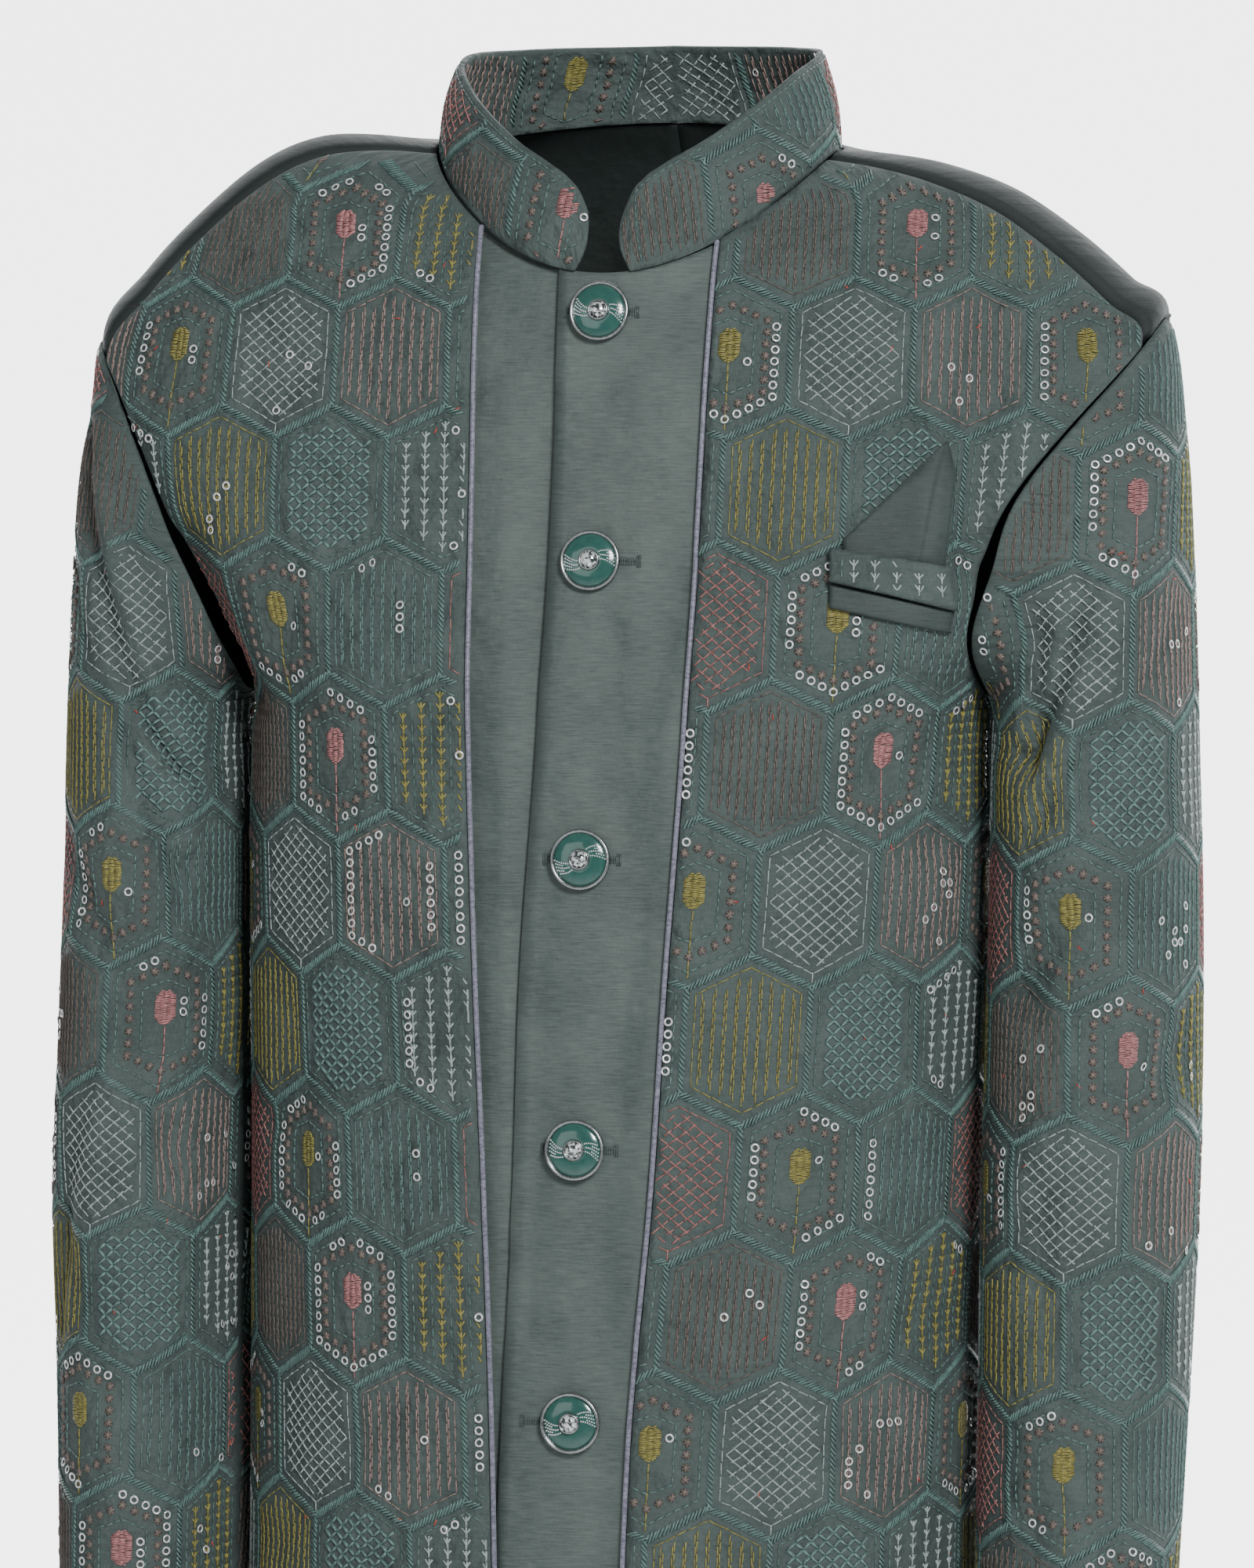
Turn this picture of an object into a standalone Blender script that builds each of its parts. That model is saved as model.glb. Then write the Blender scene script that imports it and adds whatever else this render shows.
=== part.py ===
# A boy's long coat with a stand collar, worn open over its own buttoned inner front.
# Metres, +Z up. The wearer faces -Y and the wearer's left is +X.
# The origin is the middle of the neck opening, where the wearer holds the coat up.

import bpy
import bmesh
import numpy as np
from mathutils import Vector

# Tables are in millimetres and degrees, and this turns millimetres into metres.
MM = 0.001

# Cloth and seams
CLOTH = 1.2
COLLAR_CLOTH = 1.6
SEAM = 0.35
LAYER = 2.1
SLEEVE_SEAM = 0.7
NECK_SEAM = 0.6

# Stations of the body's sections: neck seam, shoulder tip, armpit and hem.
NECK, TIP, ARMPIT, HEM = 0.0, 6.0, 9.0, 19.0
NECK_POWER = 1.7

# Angles around the body: 0 is the wearer's left side, 90 the front, 180 the right side, 270 the back.
FRONT, BACK = 90.0, 270.0

# Buttons: where they sit down the front, and their size
BUTTON_HEIGHTS = (-35.0, -107.5, -194.0, -278.0, -357.0, -437.0)
BUTTON_RADIUS = 8.9
BUTTON_LIFT = 0.35
BUTTON_SIDES = 16
STONE_SIDES = 8

# Piping: a cord along each front edge
PIPING_RADIUS = 0.75
PIPING_GAP = 0.3

# Pocket layers, outward from the left front
SQUARE_LIFT = 2.2
WELT_LIFT = 4.0
FACING_LIFT = 2.0


# A table: named columns and a row for each section.
def table(columns, *rows):
    names = columns.split()
    return {name: np.array([row[i] for row in rows], float) for i, name in enumerate(names)}


# Sections of the body from the neck seam out over the shoulders and down to the hem.
# Each has a half width and height at its two sides, and a depth and height at its front and back.
BODY = table(
    "station half_right half_left side_y rise_right rise_left front_y front_z back_y back_z power",
    (0.0, 61.5, 61.5, -5, 15.5, 13.0, -61, -23.5, 52, 23, 2.0),
    (1.0, 80, 78, -7, 18.0, 11.5, -63, -34, 60, 12, 2.0),
    (2.0, 98, 95, -9, 17.5, 8.3, -65.5, -46, 66, -2, 2.05),
    (3.0, 115, 115, -11, 10.5, 1.0, -68.5, -60, 71, -18, 2.1),
    (4.0, 133, 134, -13, -4, -11.5, -71, -75, 75, -36, 2.15),
    (5.0, 150, 150, -15, -22, -25, -74, -92, 78, -56, 2.2),
    (6.0, 163, 161, -17, -42, -36, -77, -110, 80, -78, 2.25),
    (7.0, 152, 151, -15, -80, -78, -81, -128, 82, -104, 2.3),
    (8.0, 132, 126, -12, -120, -120, -85, -145, 83, -129, 2.35),
    (9.0, 117.5, 109.5, -9, -150, -150, -87, -162, 83, -152, 2.4),
    (10.0, 117, 109, -8, -194, -194, -90, -194, 82, -194, 2.4),
    (11.0, 116.5, 108.5, -8, -240, -240, -94.5, -240, 79, -240, 2.4),
    (12.0, 116, 108, -8, -280, -280, -98, -280, 78, -280, 2.4),
    (13.0, 116, 108, -8, -320, -320, -101.5, -320, 79, -320, 2.4),
    (14.0, 116, 108.5, -8, -360, -360, -104, -360, 82, -360, 2.4),
    (15.0, 116.5, 109.5, -8, -412, -412, -107, -412, 86, -412, 2.4),
    (16.0, 119, 113.5, -9, -473, -473, -109, -473, 90, -473, 2.35),
    (17.0, 126, 122, -10, -530, -530, -111, -530, 93, -530, 2.3),
    (18.0, 136, 133, -11, -600, -600, -114, -600, 97, -600, 2.25),
    (19.0, 144, 144, -12, -665, -665, -117, -665, 101, -665, 2.2),
)

# The armhole around the sleeve: 0 is the shoulder tip, 90 the front, 180 the armpit, 270 the back.
ARMHOLE = table(
    "station left right",
    (-30, 3, 5),
    (0, 14, 13),
    (30, 31, 22),
    (60, 42, 28),
    (90, 41, 28),
    (120, 32, 23),
    (150, 16, 13),
    (180, 0, 0),
    (210, -16, -16),
    (240, -28, -28),
    (270, -30, -30),
    (300, -21, -21),
    (330, -5, -5),
    (360, 14, 13),
    (390, 31, 22),
)

# How late the armhole drops as it turns from the tip to the armpit
ARMHOLE_DROP = 1.3

# Distance of the shoulder seam in front of the shoulder line
SHOULDER_SEAM = table(
    "station ahead",
    (0, 12),
    (3, 15),
    (6, 16.3),
)

# Sections of a sleeve: its outer and inner side, and its middle and half depth from front to back
SLEEVE = table(
    "station outer_x outer_z inner_left inner_right inner_z middle_y half_depth",
    (0, 162.5, -38, 110, 118, -150, -16, 44),
    (1, 165.5, -52, 111, 119, -152.5, -17.5, 45),
    (2, 167, -72, 111.3, 119.5, -156, -19, 45.5),
    (3, 168.8, -100, 111.2, 119.6, -162, -20.5, 45.5),
    (4, 170.3, -132, 111.1, 119.6, -171, -21.5, 45.5),
    (5, 171.5, -170, 111, 119.5, -186, -22.5, 45),
    (6, 172.8, -212, 110.6, 119.2, -216, -23, 44.5),
    (7, 173.5, -258, 110.3, 119, -259, -28, 43.5),
    (8, 173.6, -302, 110.2, 118.8, -302, -34.5, 42),
    (9, 171.3, -362, 110.4, 118.6, -362, -39.5, 38.5),
    (10, 169.3, -412, 111, 118.4, -412, -45, 37),
    (11, 168, -473, 115, 120.5, -473, -49, 35),
)
CUFF = 11.0
SLEEVE_BLEND = 2.5

# Front edges of the overlay and of the lap, as distances from the button line at a height
EDGES = table(
    "station right left lap",
    (-665, -18, 13, -24.5),
    (-412, -23, 16.5, -23),
    (-365, -24.5, 18, -21.5),
    (-294, -28, 23.5, -19),
    (-223, -32.5, 27, -18),
    (-153, -36, 31, -14.4),
    (-73, -38, 33, -12.7),
    (-15, -40, 34, -13.6),
)

# How far the inner fronts run under the overlay, at a station
TUCK = table(
    "station reach",
    (0, 46),
    (2, 56),
    (5, 62),
    (12, 56),
    (19, 46),
)
UNDER_LAP = 19.0

# The collar's top edge, by the turn from the front to the back
COLLAR_TOP = table(
    "station height",
    (5.5, -6),
    (8, -0.5),
    (12, 4),
    (18, 8),
    (30, 14.5),
    (50, 26),
    (70, 36),
    (90, 41),
    (130, 44.5),
    (180, 46),
)
COLLAR_TOP_HALF = 54.7
COLLAR_TOP_DEPTH = 50.0
COLLAR_TOP_MIDDLE = -4.0
COLLAR_BULGE = 1.5
COLLAR_END_REACH = 2.2

# Soft folds of the body, from one point to another in the front view, on the front (1) or back (-1).
# A depth below zero is a trough, and it changes from the first end to the second.
BODY_FOLDS = table(
    "side x_1 z_1 x_2 z_2 width depth_1 depth_2",
    (1, 114, -26, 112, -108, 8.0, -3.0, -6.0),
    (1, 100, -30, 98, -104, 6.0, 1.0, 1.6),
    (1, -128, -104, -111, -150, 7.0, -3.0, -4.0),
    (1, 92, -390, 108, -665, 13.0, -0.5, -6.0),
    (1, -90, -410, -104, -665, 14.0, -0.5, -5.5),
    (1, 76, -430, 84, -665, 12.0, 0.3, 2.5),
    (1, -74, -450, -80, -665, 12.0, 0.3, 2.5),
    (-1, 34, -330, 44, -665, 14.0, -0.8, -5.5),
    (-1, -30, -345, -48, -665, 13.0, -0.8, -6.0),
    (-1, 4, -300, -4, -665, 15.0, 0.8, 3.5),
    (-1, 92, -80, 84, -165, 8.0, -3.0, -4.0),
    (-1, -92, -84, -86, -160, 8.0, -3.0, -4.0),
)

# Soft folds of the sleeves: turn around the sleeve and station down it, on the left (1) or right (-1)
SLEEVE_FOLDS = table(
    "side turn_1 station_1 turn_2 station_2 width depth_1 depth_2",
    (-1, 22, 1.6, 132, 4.4, 7.0, -2.5, -5.0),
    (-1, 70, 3.4, 128, 5.6, 7.0, -1.5, -4.5),
    (-1, 40, 5.6, 118, 6.7, 8.0, -1.5, -3.5),
    (-1, 60, 6.0, 130, 7.6, 8.0, -2.0, -4.0),
    (1, 48, 1.9, 122, 4.1, 7.0, -1.5, -4.5),
    (1, 60, 5.2, 120, 6.4, 8.0, -1.5, -3.5),
    (1, 30, 6.9, 104, 7.8, 8.0, -2.5, -2.0),
    (1, 250, 5.4, 200, 6.9, 8.0, -2.5, -3.0),
    (-1, 252, 5.8, 205, 7.2, 8.0, -2.5, -3.0),
    (1, 262, 2.0, 214, 4.0, 8.0, -2.0, -4.0),
    (-1, 262, 2.2, 212, 4.2, 8.0, -2.0, -4.0),
)
SLEEVE_TURN_MM = 0.68
SLEEVE_STATION_MM = 38.0


# A smooth curve through one column of a table.
def read(rows, column, at):
    keys, values = rows["station"], rows[column]
    slopes = np.gradient(values, keys)
    at = np.asarray(at, float)
    i = np.clip(np.searchsorted(keys, at, side="right") - 1, 0, len(keys) - 2)
    step = keys[i + 1] - keys[i]
    t = (at - keys[i]) / step
    start = (1 + 2 * t) * (1 - t) ** 2 * values[i] + t * (1 - t) ** 2 * step * slopes[i]
    end = t * t * (3 - 2 * t) * values[i + 1] + t * t * (t - 1) * step * slopes[i + 1]
    return start + end


# A point of the body's surface, before folds.
def body_point(angle, station):
    angle, station = np.broadcast_arrays(np.asarray(angle, float), np.asarray(station, float))
    turn = np.radians(angle)
    across, along = np.cos(turn), np.sin(turn)
    power = 2 / read(BODY, "power", station)
    wide = np.abs(across) ** power
    deep = np.abs(along) ** power
    on_left = across >= 0
    half = np.where(on_left, read(BODY, "half_left", station), read(BODY, "half_right", station))
    rise = np.where(on_left, read(BODY, "rise_left", station), read(BODY, "rise_right", station))
    ahead = along >= 0
    end_y = np.where(ahead, read(BODY, "front_y", station), read(BODY, "back_y", station))
    end_z = np.where(ahead, read(BODY, "front_z", station), read(BODY, "back_z", station))
    side_y = read(BODY, "side_y", station)
    x = half * wide * np.sign(across)
    y = side_y + (end_y - side_y) * deep
    z = rise + (end_z - rise) * deep ** NECK_POWER
    return np.stack([x, y, z], axis=-1)


# Unit normals of a surface function by small steps.
def outward(surface, first, second, step):
    first, second = np.broadcast_arrays(np.asarray(first, float), np.asarray(second, float))
    low, high = surface.limits
    before = np.clip(second - step, low, high)
    after = np.clip(second + step, low, high)
    across = surface(first + 1.0, second) - surface(first - 1.0, second)
    down = surface(first, after) - surface(first, before)
    normal = np.cross(across, down)
    return normal / np.linalg.norm(normal, axis=-1, keepdims=True)


body_point.limits = (NECK, HEM)


# The sum of the soft folds at places on a plane, in millimetres.
def fold_depth(p, q, ends, widths, depths):
    total = np.zeros(np.shape(p))
    for (p_1, q_1, p_2, q_2), width, (depth_1, depth_2) in zip(ends, widths, depths):
        run_p, run_q = p_2 - p_1, q_2 - q_1
        t = ((p - p_1) * run_p + (q - q_1) * run_q) / (run_p ** 2 + run_q ** 2)
        t = np.clip(t, 0, 1)
        away = np.hypot(p - p_1 - t * run_p, q - q_1 - t * run_q)
        total = total + (depth_1 + (depth_2 - depth_1) * t) * np.exp(-(away / width) ** 2)
    return total


# The folds of the body's front (1) or back (-1).
def body_folds(point, angle):
    total = np.zeros(point.shape[:-1])
    ahead = np.sin(np.radians(angle)) >= 0
    for side in (1, -1):
        mine = BODY_FOLDS["side"] == side
        columns = [BODY_FOLDS[name][mine] for name in ("x_1", "z_1", "x_2", "z_2")]
        depths = zip(BODY_FOLDS["depth_1"][mine], BODY_FOLDS["depth_2"][mine])
        push = fold_depth(point[..., 0], point[..., 2], zip(*columns), BODY_FOLDS["width"][mine], depths)
        total = np.where(ahead == (side == 1), push, total)
    return total


# A point of the coat's outer surface, moved out by a distance.
def coat(angle, station, out=0.0):
    point = body_point(angle, station)
    normal = outward(body_point, angle, station, 0.05)
    push = body_folds(point, angle) + out
    return point + normal * push[..., None]


# The angle at which the coat's front is a given distance from the button line.
def angle_at(x, station):
    half = np.where(np.asarray(x) >= 0, read(BODY, "half_left", station), read(BODY, "half_right", station))
    ratio = np.clip(np.abs(x) / half, 0, 1) ** (read(BODY, "power", station) / 2)
    turn = np.degrees(np.arccos(ratio))
    return np.where(np.asarray(x) >= 0, turn, 180 - turn)


# The station at which the coat's front has a given height, at a distance from the button line.
def station_at(x, z):
    x, z = np.broadcast_arrays(np.asarray(x, float), np.asarray(z, float))
    low, high = np.full(x.shape, NECK), np.full(x.shape, HEM)
    for _ in range(30):
        middle = (low + high) / 2
        above = body_point(angle_at(x, middle), middle)[..., 2] > z
        low, high = np.where(above, middle, low), np.where(above, high, middle)
    return (low + high) / 2


# The armhole's station and angle, by the turn around the sleeve.
def armhole_station(turn):
    return TIP + (ARMPIT - TIP) * ((1 - np.cos(np.radians(turn))) / 2) ** ARMHOLE_DROP


def armhole_angle(turn, side):
    angle = read(ARMHOLE, "left" if side > 0 else "right", turn)
    return angle if side > 0 else 180 - angle


# The turn of an armhole point by its station, from the tip to the armpit.
def armhole_turn(station):
    down = np.clip((station - TIP) / (ARMPIT - TIP), 0, 1) ** (1 / ARMHOLE_DROP)
    return np.degrees(np.arccos(1 - 2 * down))


# The shoulder seam's angle in front of the shoulder line.
def seam_angle(station):
    depth = read(BODY, "side_y", station) - read(BODY, "front_y", station)
    ratio = np.clip(read(SHOULDER_SEAM, "ahead", np.minimum(station, TIP)) / depth, 0, 1)
    return np.degrees(np.arcsin(ratio ** (read(BODY, "power", station) / 2)))


# Where a front ends at its outer side: shoulder seam, armhole or side seam.
def front_side(station, side):
    seam = seam_angle(station)
    if side < 0:
        seam = 180 - seam
    hole = armhole_angle(armhole_turn(station), side)
    below = 0.0 if side > 0 else 180.0
    slit = slit_angle(station) * side
    return np.where(station < TIP, seam, np.where(station < ARMPIT, hole, below + slit))


# Where the back ends at one side.
def back_side(station, side):
    seam = seam_angle(station)
    if side < 0:
        seam = 180 - seam
    hole = armhole_angle(360 - armhole_turn(station), side)
    below = 0.0 if side > 0 else 180.0
    slit = slit_angle(station) * side
    return np.where(station < TIP, seam, np.where(station < ARMPIT, hole, below - slit))


# Below the hip the side seams part into slits.
SLIT_TOP = 15.5
SLIT_ANGLE = 1.2


def slit_angle(station):
    t = np.clip((station - SLIT_TOP) / (HEM - SLIT_TOP), 0, 1)
    return SLIT_ANGLE * t ** 0.5


# The angle that a distance on the surface covers.
def angle_for(distance, angle, station):
    step = np.linalg.norm(body_point(angle + 0.5, station) - body_point(angle - 0.5, station), axis=-1)
    return distance / step


# The front edge of an overlay front.
def front_edge(station, side):
    z = read(BODY, "front_z", station)
    x = read(EDGES, "left" if side > 0 else "right", np.clip(z, -665, -15))
    return angle_at(x, station)


# A grid of points from a formula of u and v, both from 0 to 1, made a mesh object.
def sheet(name, columns, rows, formula, closed=False):
    bpy.ops.mesh.primitive_grid_add(x_subdivisions=columns, y_subdivisions=rows, size=1)
    thing = bpy.context.object
    thing.name = name
    mesh = thing.data
    mesh.name = name
    flat = np.empty(len(mesh.vertices) * 3)
    mesh.vertices.foreach_get("co", flat)
    flat = flat.reshape(-1, 3)
    u = np.round((flat[:, 0] + 0.5) * columns).astype(int)
    v = np.round((flat[:, 1] + 0.5) * rows).astype(int)
    points = formula(u, v) * MM
    mesh.vertices.foreach_set("co", points.ravel())
    mesh.update()
    if closed:
        shape = bmesh.new()
        shape.from_mesh(mesh)
        bmesh.ops.remove_doubles(shape, verts=shape.verts, dist=0.00001)
        shape.to_mesh(mesh)
        shape.free()
    mesh.shade_smooth()
    return thing


# A wall's thickness, inward from its outer surface.
def thicken(thing, thickness):
    wall = thing.modifiers.new("wall", "SOLIDIFY")
    wall.thickness = thickness * MM
    wall.offset = -1
    return thing


# A plain finish of its own for each piece.
def finish(thing, colour, rough=0.7, metallic=0.0):
    material = bpy.data.materials.new(thing.name + "_finish")
    material.use_nodes = True
    shader = material.node_tree.nodes["Principled BSDF"]
    shader.inputs["Base Color"].default_value = (*colour, 1)
    shader.inputs["Roughness"].default_value = rough
    shader.inputs["Metallic"].default_value = metallic
    thing.data.materials.append(material)
    return thing


EMBROIDERED = (0.05, 0.085, 0.08)
PLAIN = (0.075, 0.12, 0.11)
PALE_CORD = (0.2, 0.2, 0.28)
ENAMEL = (0.04, 0.13, 0.12)
CLEAR_STONE = (0.8, 0.85, 0.85)

# Rows of the panels: shoulder, armhole and below
SHOULDER_ROWS = np.array([0, 0.45, 1, 1.7, 2.5, 3.3, 4.1, 4.9, 5.5])
ARMHOLE_TURNS = np.linspace(0, 180, 11)
LOWER_ROWS = np.array([9.5, 10.1, 10.8, 11.6, 12.4, 13.2, 14, 14.8, 15.5, 16.3, 17.2, 18.1, 19])
PANEL_ROWS = np.concatenate([SHOULDER_ROWS, armhole_station(ARMHOLE_TURNS), LOWER_ROWS])

# Columns of the panels, as parts of the way from the side to the front edge or across half the back
FRONT_COLUMNS = np.array([0, 0.05, 0.1, 0.15, 0.2, 0.26, 0.33, 0.42, 0.53, 0.65, 0.77, 0.89, 1])
BACK_COLUMNS = 10


# An overlay front.
def make_front(name, side):
    def place(u, v):
        station = PANEL_ROWS[v]
        outer = front_side(station, side)
        edge = front_edge(station, side)
        outer = outer + angle_for(SEAM, outer, station) * side
        part = FRONT_COLUMNS[u] if side > 0 else FRONT_COLUMNS[::-1][u]
        return coat(outer + (edge - outer) * part, station)
    columns = len(FRONT_COLUMNS) - 1
    front = sheet(name, columns, len(PANEL_ROWS) - 1, place)
    return finish(thicken(front, CLOTH), EMBROIDERED)


# One half of the back, from its side to the seam down the middle of the back.
def make_back(name, side):
    def place(u, v):
        station = PANEL_ROWS[v]
        middle = BACK + angle_for(SEAM / 2, BACK, station) * side
        outer = back_side(station, side) + (360 if side > 0 else 0)
        outer = outer - angle_for(SEAM, outer, station) * side
        start, end = (middle, outer) if side > 0 else (outer, middle)
        return coat(start + (end - start) * u / BACK_COLUMNS, station)
    back = sheet(name, BACK_COLUMNS, len(PANEL_ROWS) - 1, place)
    return finish(thicken(back, CLOTH), PLAIN, 0.5)


INNER_ROWS = np.concatenate([SHOULDER_ROWS, armhole_station(ARMHOLE_TURNS[::2]), LOWER_ROWS])
INNER_COLUMNS = 7


# A plain inner front between two distances from the button line.
def make_placket(name, depth, left, right):
    def place(u, v):
        station = INNER_ROWS[v]
        start, end = angle_at(left(station), station), angle_at(right(station), station)
        return coat(start + (end - start) * u / INNER_COLUMNS, station, -depth)
    placket = sheet(name, INNER_COLUMNS, len(INNER_ROWS) - 1, place)
    return finish(thicken(placket, CLOTH), PLAIN, 0.5)


def tuck_left(station):
    return read(TUCK, "reach", station)


def tuck_right(station):
    return -read(TUCK, "reach", station)


def lap_edge(station):
    return read(EDGES, "lap", np.clip(read(BODY, "front_z", station), -665, -15))


def under_edge(station):
    return np.full(np.shape(station), UNDER_LAP)


SLEEVE_COLUMNS = 20
SLEEVE_ROWS = np.array([0, 0.4, 0.9, 1.5, 2.2, 2.9, 3.6, 4.3, 5, 5.6, 6.2, 6.8, 7.5, 8.3, 9.1, 10, 11])


# A point of a sleeve's surface before folds: 0 is its outer side, 90 its front.
def sleeve_point(turn, station, side):
    turn, station = np.broadcast_arrays(np.asarray(turn, float), np.asarray(station, float))
    around = np.radians(turn)

    def ring(at):
        outer = [read(SLEEVE, "outer_x", at), read(SLEEVE, "middle_y", at), read(SLEEVE, "outer_z", at)]
        inner_x = read(SLEEVE, "inner_left" if side > 0 else "inner_right", at)
        inner = [inner_x, read(SLEEVE, "middle_y", at), read(SLEEVE, "inner_z", at)]
        outer, inner = np.stack(outer, axis=-1), np.stack(inner, axis=-1)
        point = (outer + inner) / 2 + (outer - inner) / 2 * np.cos(around)[..., None]
        point[..., 1] -= read(SLEEVE, "half_depth", at) * np.sin(around)
        return point

    point = ring(station)
    point[..., 0] *= side
    first = ring(np.zeros(station.shape))
    first[..., 0] *= side
    turned = np.mod(turn, 360)
    seam = armhole_station(turned)
    hole = body_point(armhole_angle(turned, side), seam)
    hole = hole + np.array([SLEEVE_SEAM * side, 0, 0])
    left = np.clip(1 - station / SLEEVE_BLEND, 0, 1)
    blend = left * left * (3 - 2 * left)
    return point + (hole - first) * blend[..., None]


# A sleeve, a tube from the armhole to the cuff.
def make_sleeve(name, side):
    def bare(turn, station):
        return sleeve_point(turn, station, side)
    bare.limits = (0.0, CUFF)

    def place(u, v):
        turn = 360.0 * (u if side > 0 else SLEEVE_COLUMNS - u) / SLEEVE_COLUMNS
        station = SLEEVE_ROWS[v]
        normal = outward(bare, turn, station, 0.1) * side
        mine = SLEEVE_FOLDS["side"] == side
        ends = zip(SLEEVE_FOLDS["turn_1"][mine] * SLEEVE_TURN_MM,
                   SLEEVE_FOLDS["station_1"][mine] * SLEEVE_STATION_MM,
                   SLEEVE_FOLDS["turn_2"][mine] * SLEEVE_TURN_MM,
                   SLEEVE_FOLDS["station_2"][mine] * SLEEVE_STATION_MM)
        depths = zip(SLEEVE_FOLDS["depth_1"][mine], SLEEVE_FOLDS["depth_2"][mine])
        p, q = np.mod(turn, 360) * SLEEVE_TURN_MM, station * SLEEVE_STATION_MM
        push = fold_depth(p, q, ends, SLEEVE_FOLDS["width"][mine], depths)
        return bare(turn, station) + normal * push[..., None]
    sleeve = sheet(name, SLEEVE_COLUMNS, len(SLEEVE_ROWS) - 1, place, closed=True)
    return finish(thicken(sleeve, CLOTH), EMBROIDERED)


COLLAR_TURNS = np.array([0, 0.012, 0.03, 0.055, 0.09, 0.14, 0.2, 0.28, 0.37, 0.46, 0.55, 0.64, 0.73, 0.82,
                         0.91, 1])
COLLAR_ROWS = 4
COLLAR_BASE_END = 8.0
COLLAR_TOP_END = 5.5


# A point of the collar: part of the way from a front end to the middle of the back, and down from the top.
def collar_point(part, down, side):
    base_turn = COLLAR_BASE_END + (180 - COLLAR_BASE_END) * part
    top_turn = COLLAR_TOP_END + (180 - COLLAR_TOP_END) * part
    base = body_point(FRONT - base_turn * side, np.full(np.shape(part), NECK))
    base = base + np.array([0, 0, NECK_SEAM])
    around = np.radians(top_turn)
    top = np.stack([
        COLLAR_TOP_HALF * np.sin(around) * side,
        COLLAR_TOP_MIDDLE - COLLAR_TOP_DEPTH * np.cos(around),
        read(COLLAR_TOP, "height", top_turn),
    ], axis=-1)
    up = (1 - down)[..., None]
    point = base + (top - base) * up
    arch = np.sin(np.pi * (1 - down))
    radial = base * np.array([1, 1, 0])
    radial = radial / np.linalg.norm(radial, axis=-1, keepdims=True)
    reach = COLLAR_END_REACH * np.exp(-(base_turn - COLLAR_BASE_END) / 5)
    point = point + radial * (COLLAR_BULGE * arch)[..., None]
    point[..., 0] -= side * reach * arch
    return point


# The stand collar, from the right front end around the back to the left one.
def make_collar():
    half = len(COLLAR_TURNS) - 1

    def place(u, v):
        on_right = u <= half
        part = COLLAR_TURNS[np.where(on_right, u, 2 * half - u)]
        side = np.where(on_right, -1.0, 1.0)
        points = [collar_point(part, v / COLLAR_ROWS, sign) for sign in (1.0, -1.0)]
        return np.where((side > 0)[:, None], points[0], points[1])
    collar = sheet("collar", 2 * half, COLLAR_ROWS, place)
    return finish(thicken(collar, COLLAR_CLOTH), EMBROIDERED)


# A cord along a front edge, through points beside the panel's own rows.
def make_piping(name, side):
    edge = front_edge(PANEL_ROWS, side)
    beside = angle_for(PIPING_RADIUS + PIPING_GAP, edge, PANEL_ROWS)
    points = coat(edge + beside * side, PANEL_ROWS, -CLOTH / 2) * MM
    curve = bpy.data.curves.new(name, "CURVE")
    curve.dimensions = "3D"
    curve.bevel_depth = PIPING_RADIUS * MM
    curve.bevel_resolution = 1
    curve.use_fill_caps = True
    line = curve.splines.new("POLY")
    line.points.add(len(points) - 1)
    for spot, point in zip(line.points, points):
        spot.co = (*point, 1)
    cord = bpy.data.objects.new(name, curve)
    bpy.context.collection.objects.link(cord)
    return finish(cord, PALE_CORD, 0.4)


# A patch on the left front from corners given by distance and height, along its top and bottom edges.
def make_patch(name, top, bottom, columns, rows, lift, colour, thickness=CLOTH):
    top, bottom = np.array(top, float), np.array(bottom, float)
    marks = np.linspace(0, 1, len(top))

    def place(u, v):
        at = 1 - u / columns
        down = v / rows
        x = np.interp(at, marks, top[:, 0]) * (1 - down) + np.interp(at, marks, bottom[:, 0]) * down
        z = np.interp(at, marks, top[:, 1]) * (1 - down) + np.interp(at, marks, bottom[:, 1]) * down
        station = station_at(x, z)
        return coat(angle_at(x, station), station, lift)
    patch = sheet(name, columns, rows, place)
    return finish(thicken(patch, thickness), colour)


# The chest pocket: corners as distance from the button line and height.
WELT_TOP = ((70.8, -103.8), (105.0, -108.9))
WELT_BOTTOM = ((70.8, -113.6), (105.3, -120.9))
FACING_TOP = ((70.8, -114.0), (105.3, -121.3))
FACING_BOTTOM = ((70.8, -120.9), (103.6, -128.0))
SQUARE_TOP = ((74.2, -101.4), (103.4, -72.7), (106.0, -81.4))
SQUARE_BOTTOM = ((75.0, -107.5), (93.5, -110.5), (103.6, -112.5))

# Half sections of a button and of its stone: distance from the axis and height
BUTTON_PROFILE = ((0, 3.0), (2.85, 3.0), (3.0, 3.8), (3.4, 3.0), (7.9, 2.4), (8.3, 2.8),
                  (BUTTON_RADIUS, 2.3), (8.5, 0), (0, 0))
STONE_PROFILE = ((0, 4.9), (1.6, 4.7), (2.6, 3.9), (1.2, 3.4), (0, 3.3))


# A turned shape from a half section.
def turned(name, profile, sides):
    mesh = bpy.data.meshes.new(name)
    points = [(r * MM, 0, z * MM) for r, z in profile]
    mesh.from_pydata(points, [(i, i + 1) for i in range(len(points) - 1)], [])
    thing = bpy.data.objects.new(name, mesh)
    bpy.context.collection.objects.link(thing)
    spin = thing.modifiers.new("spin", "SCREW")
    spin.axis = "Z"
    spin.steps = sides
    spin.render_steps = sides
    spin.use_merge_vertices = True
    spin.merge_threshold = 0.00001
    return thing


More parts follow.
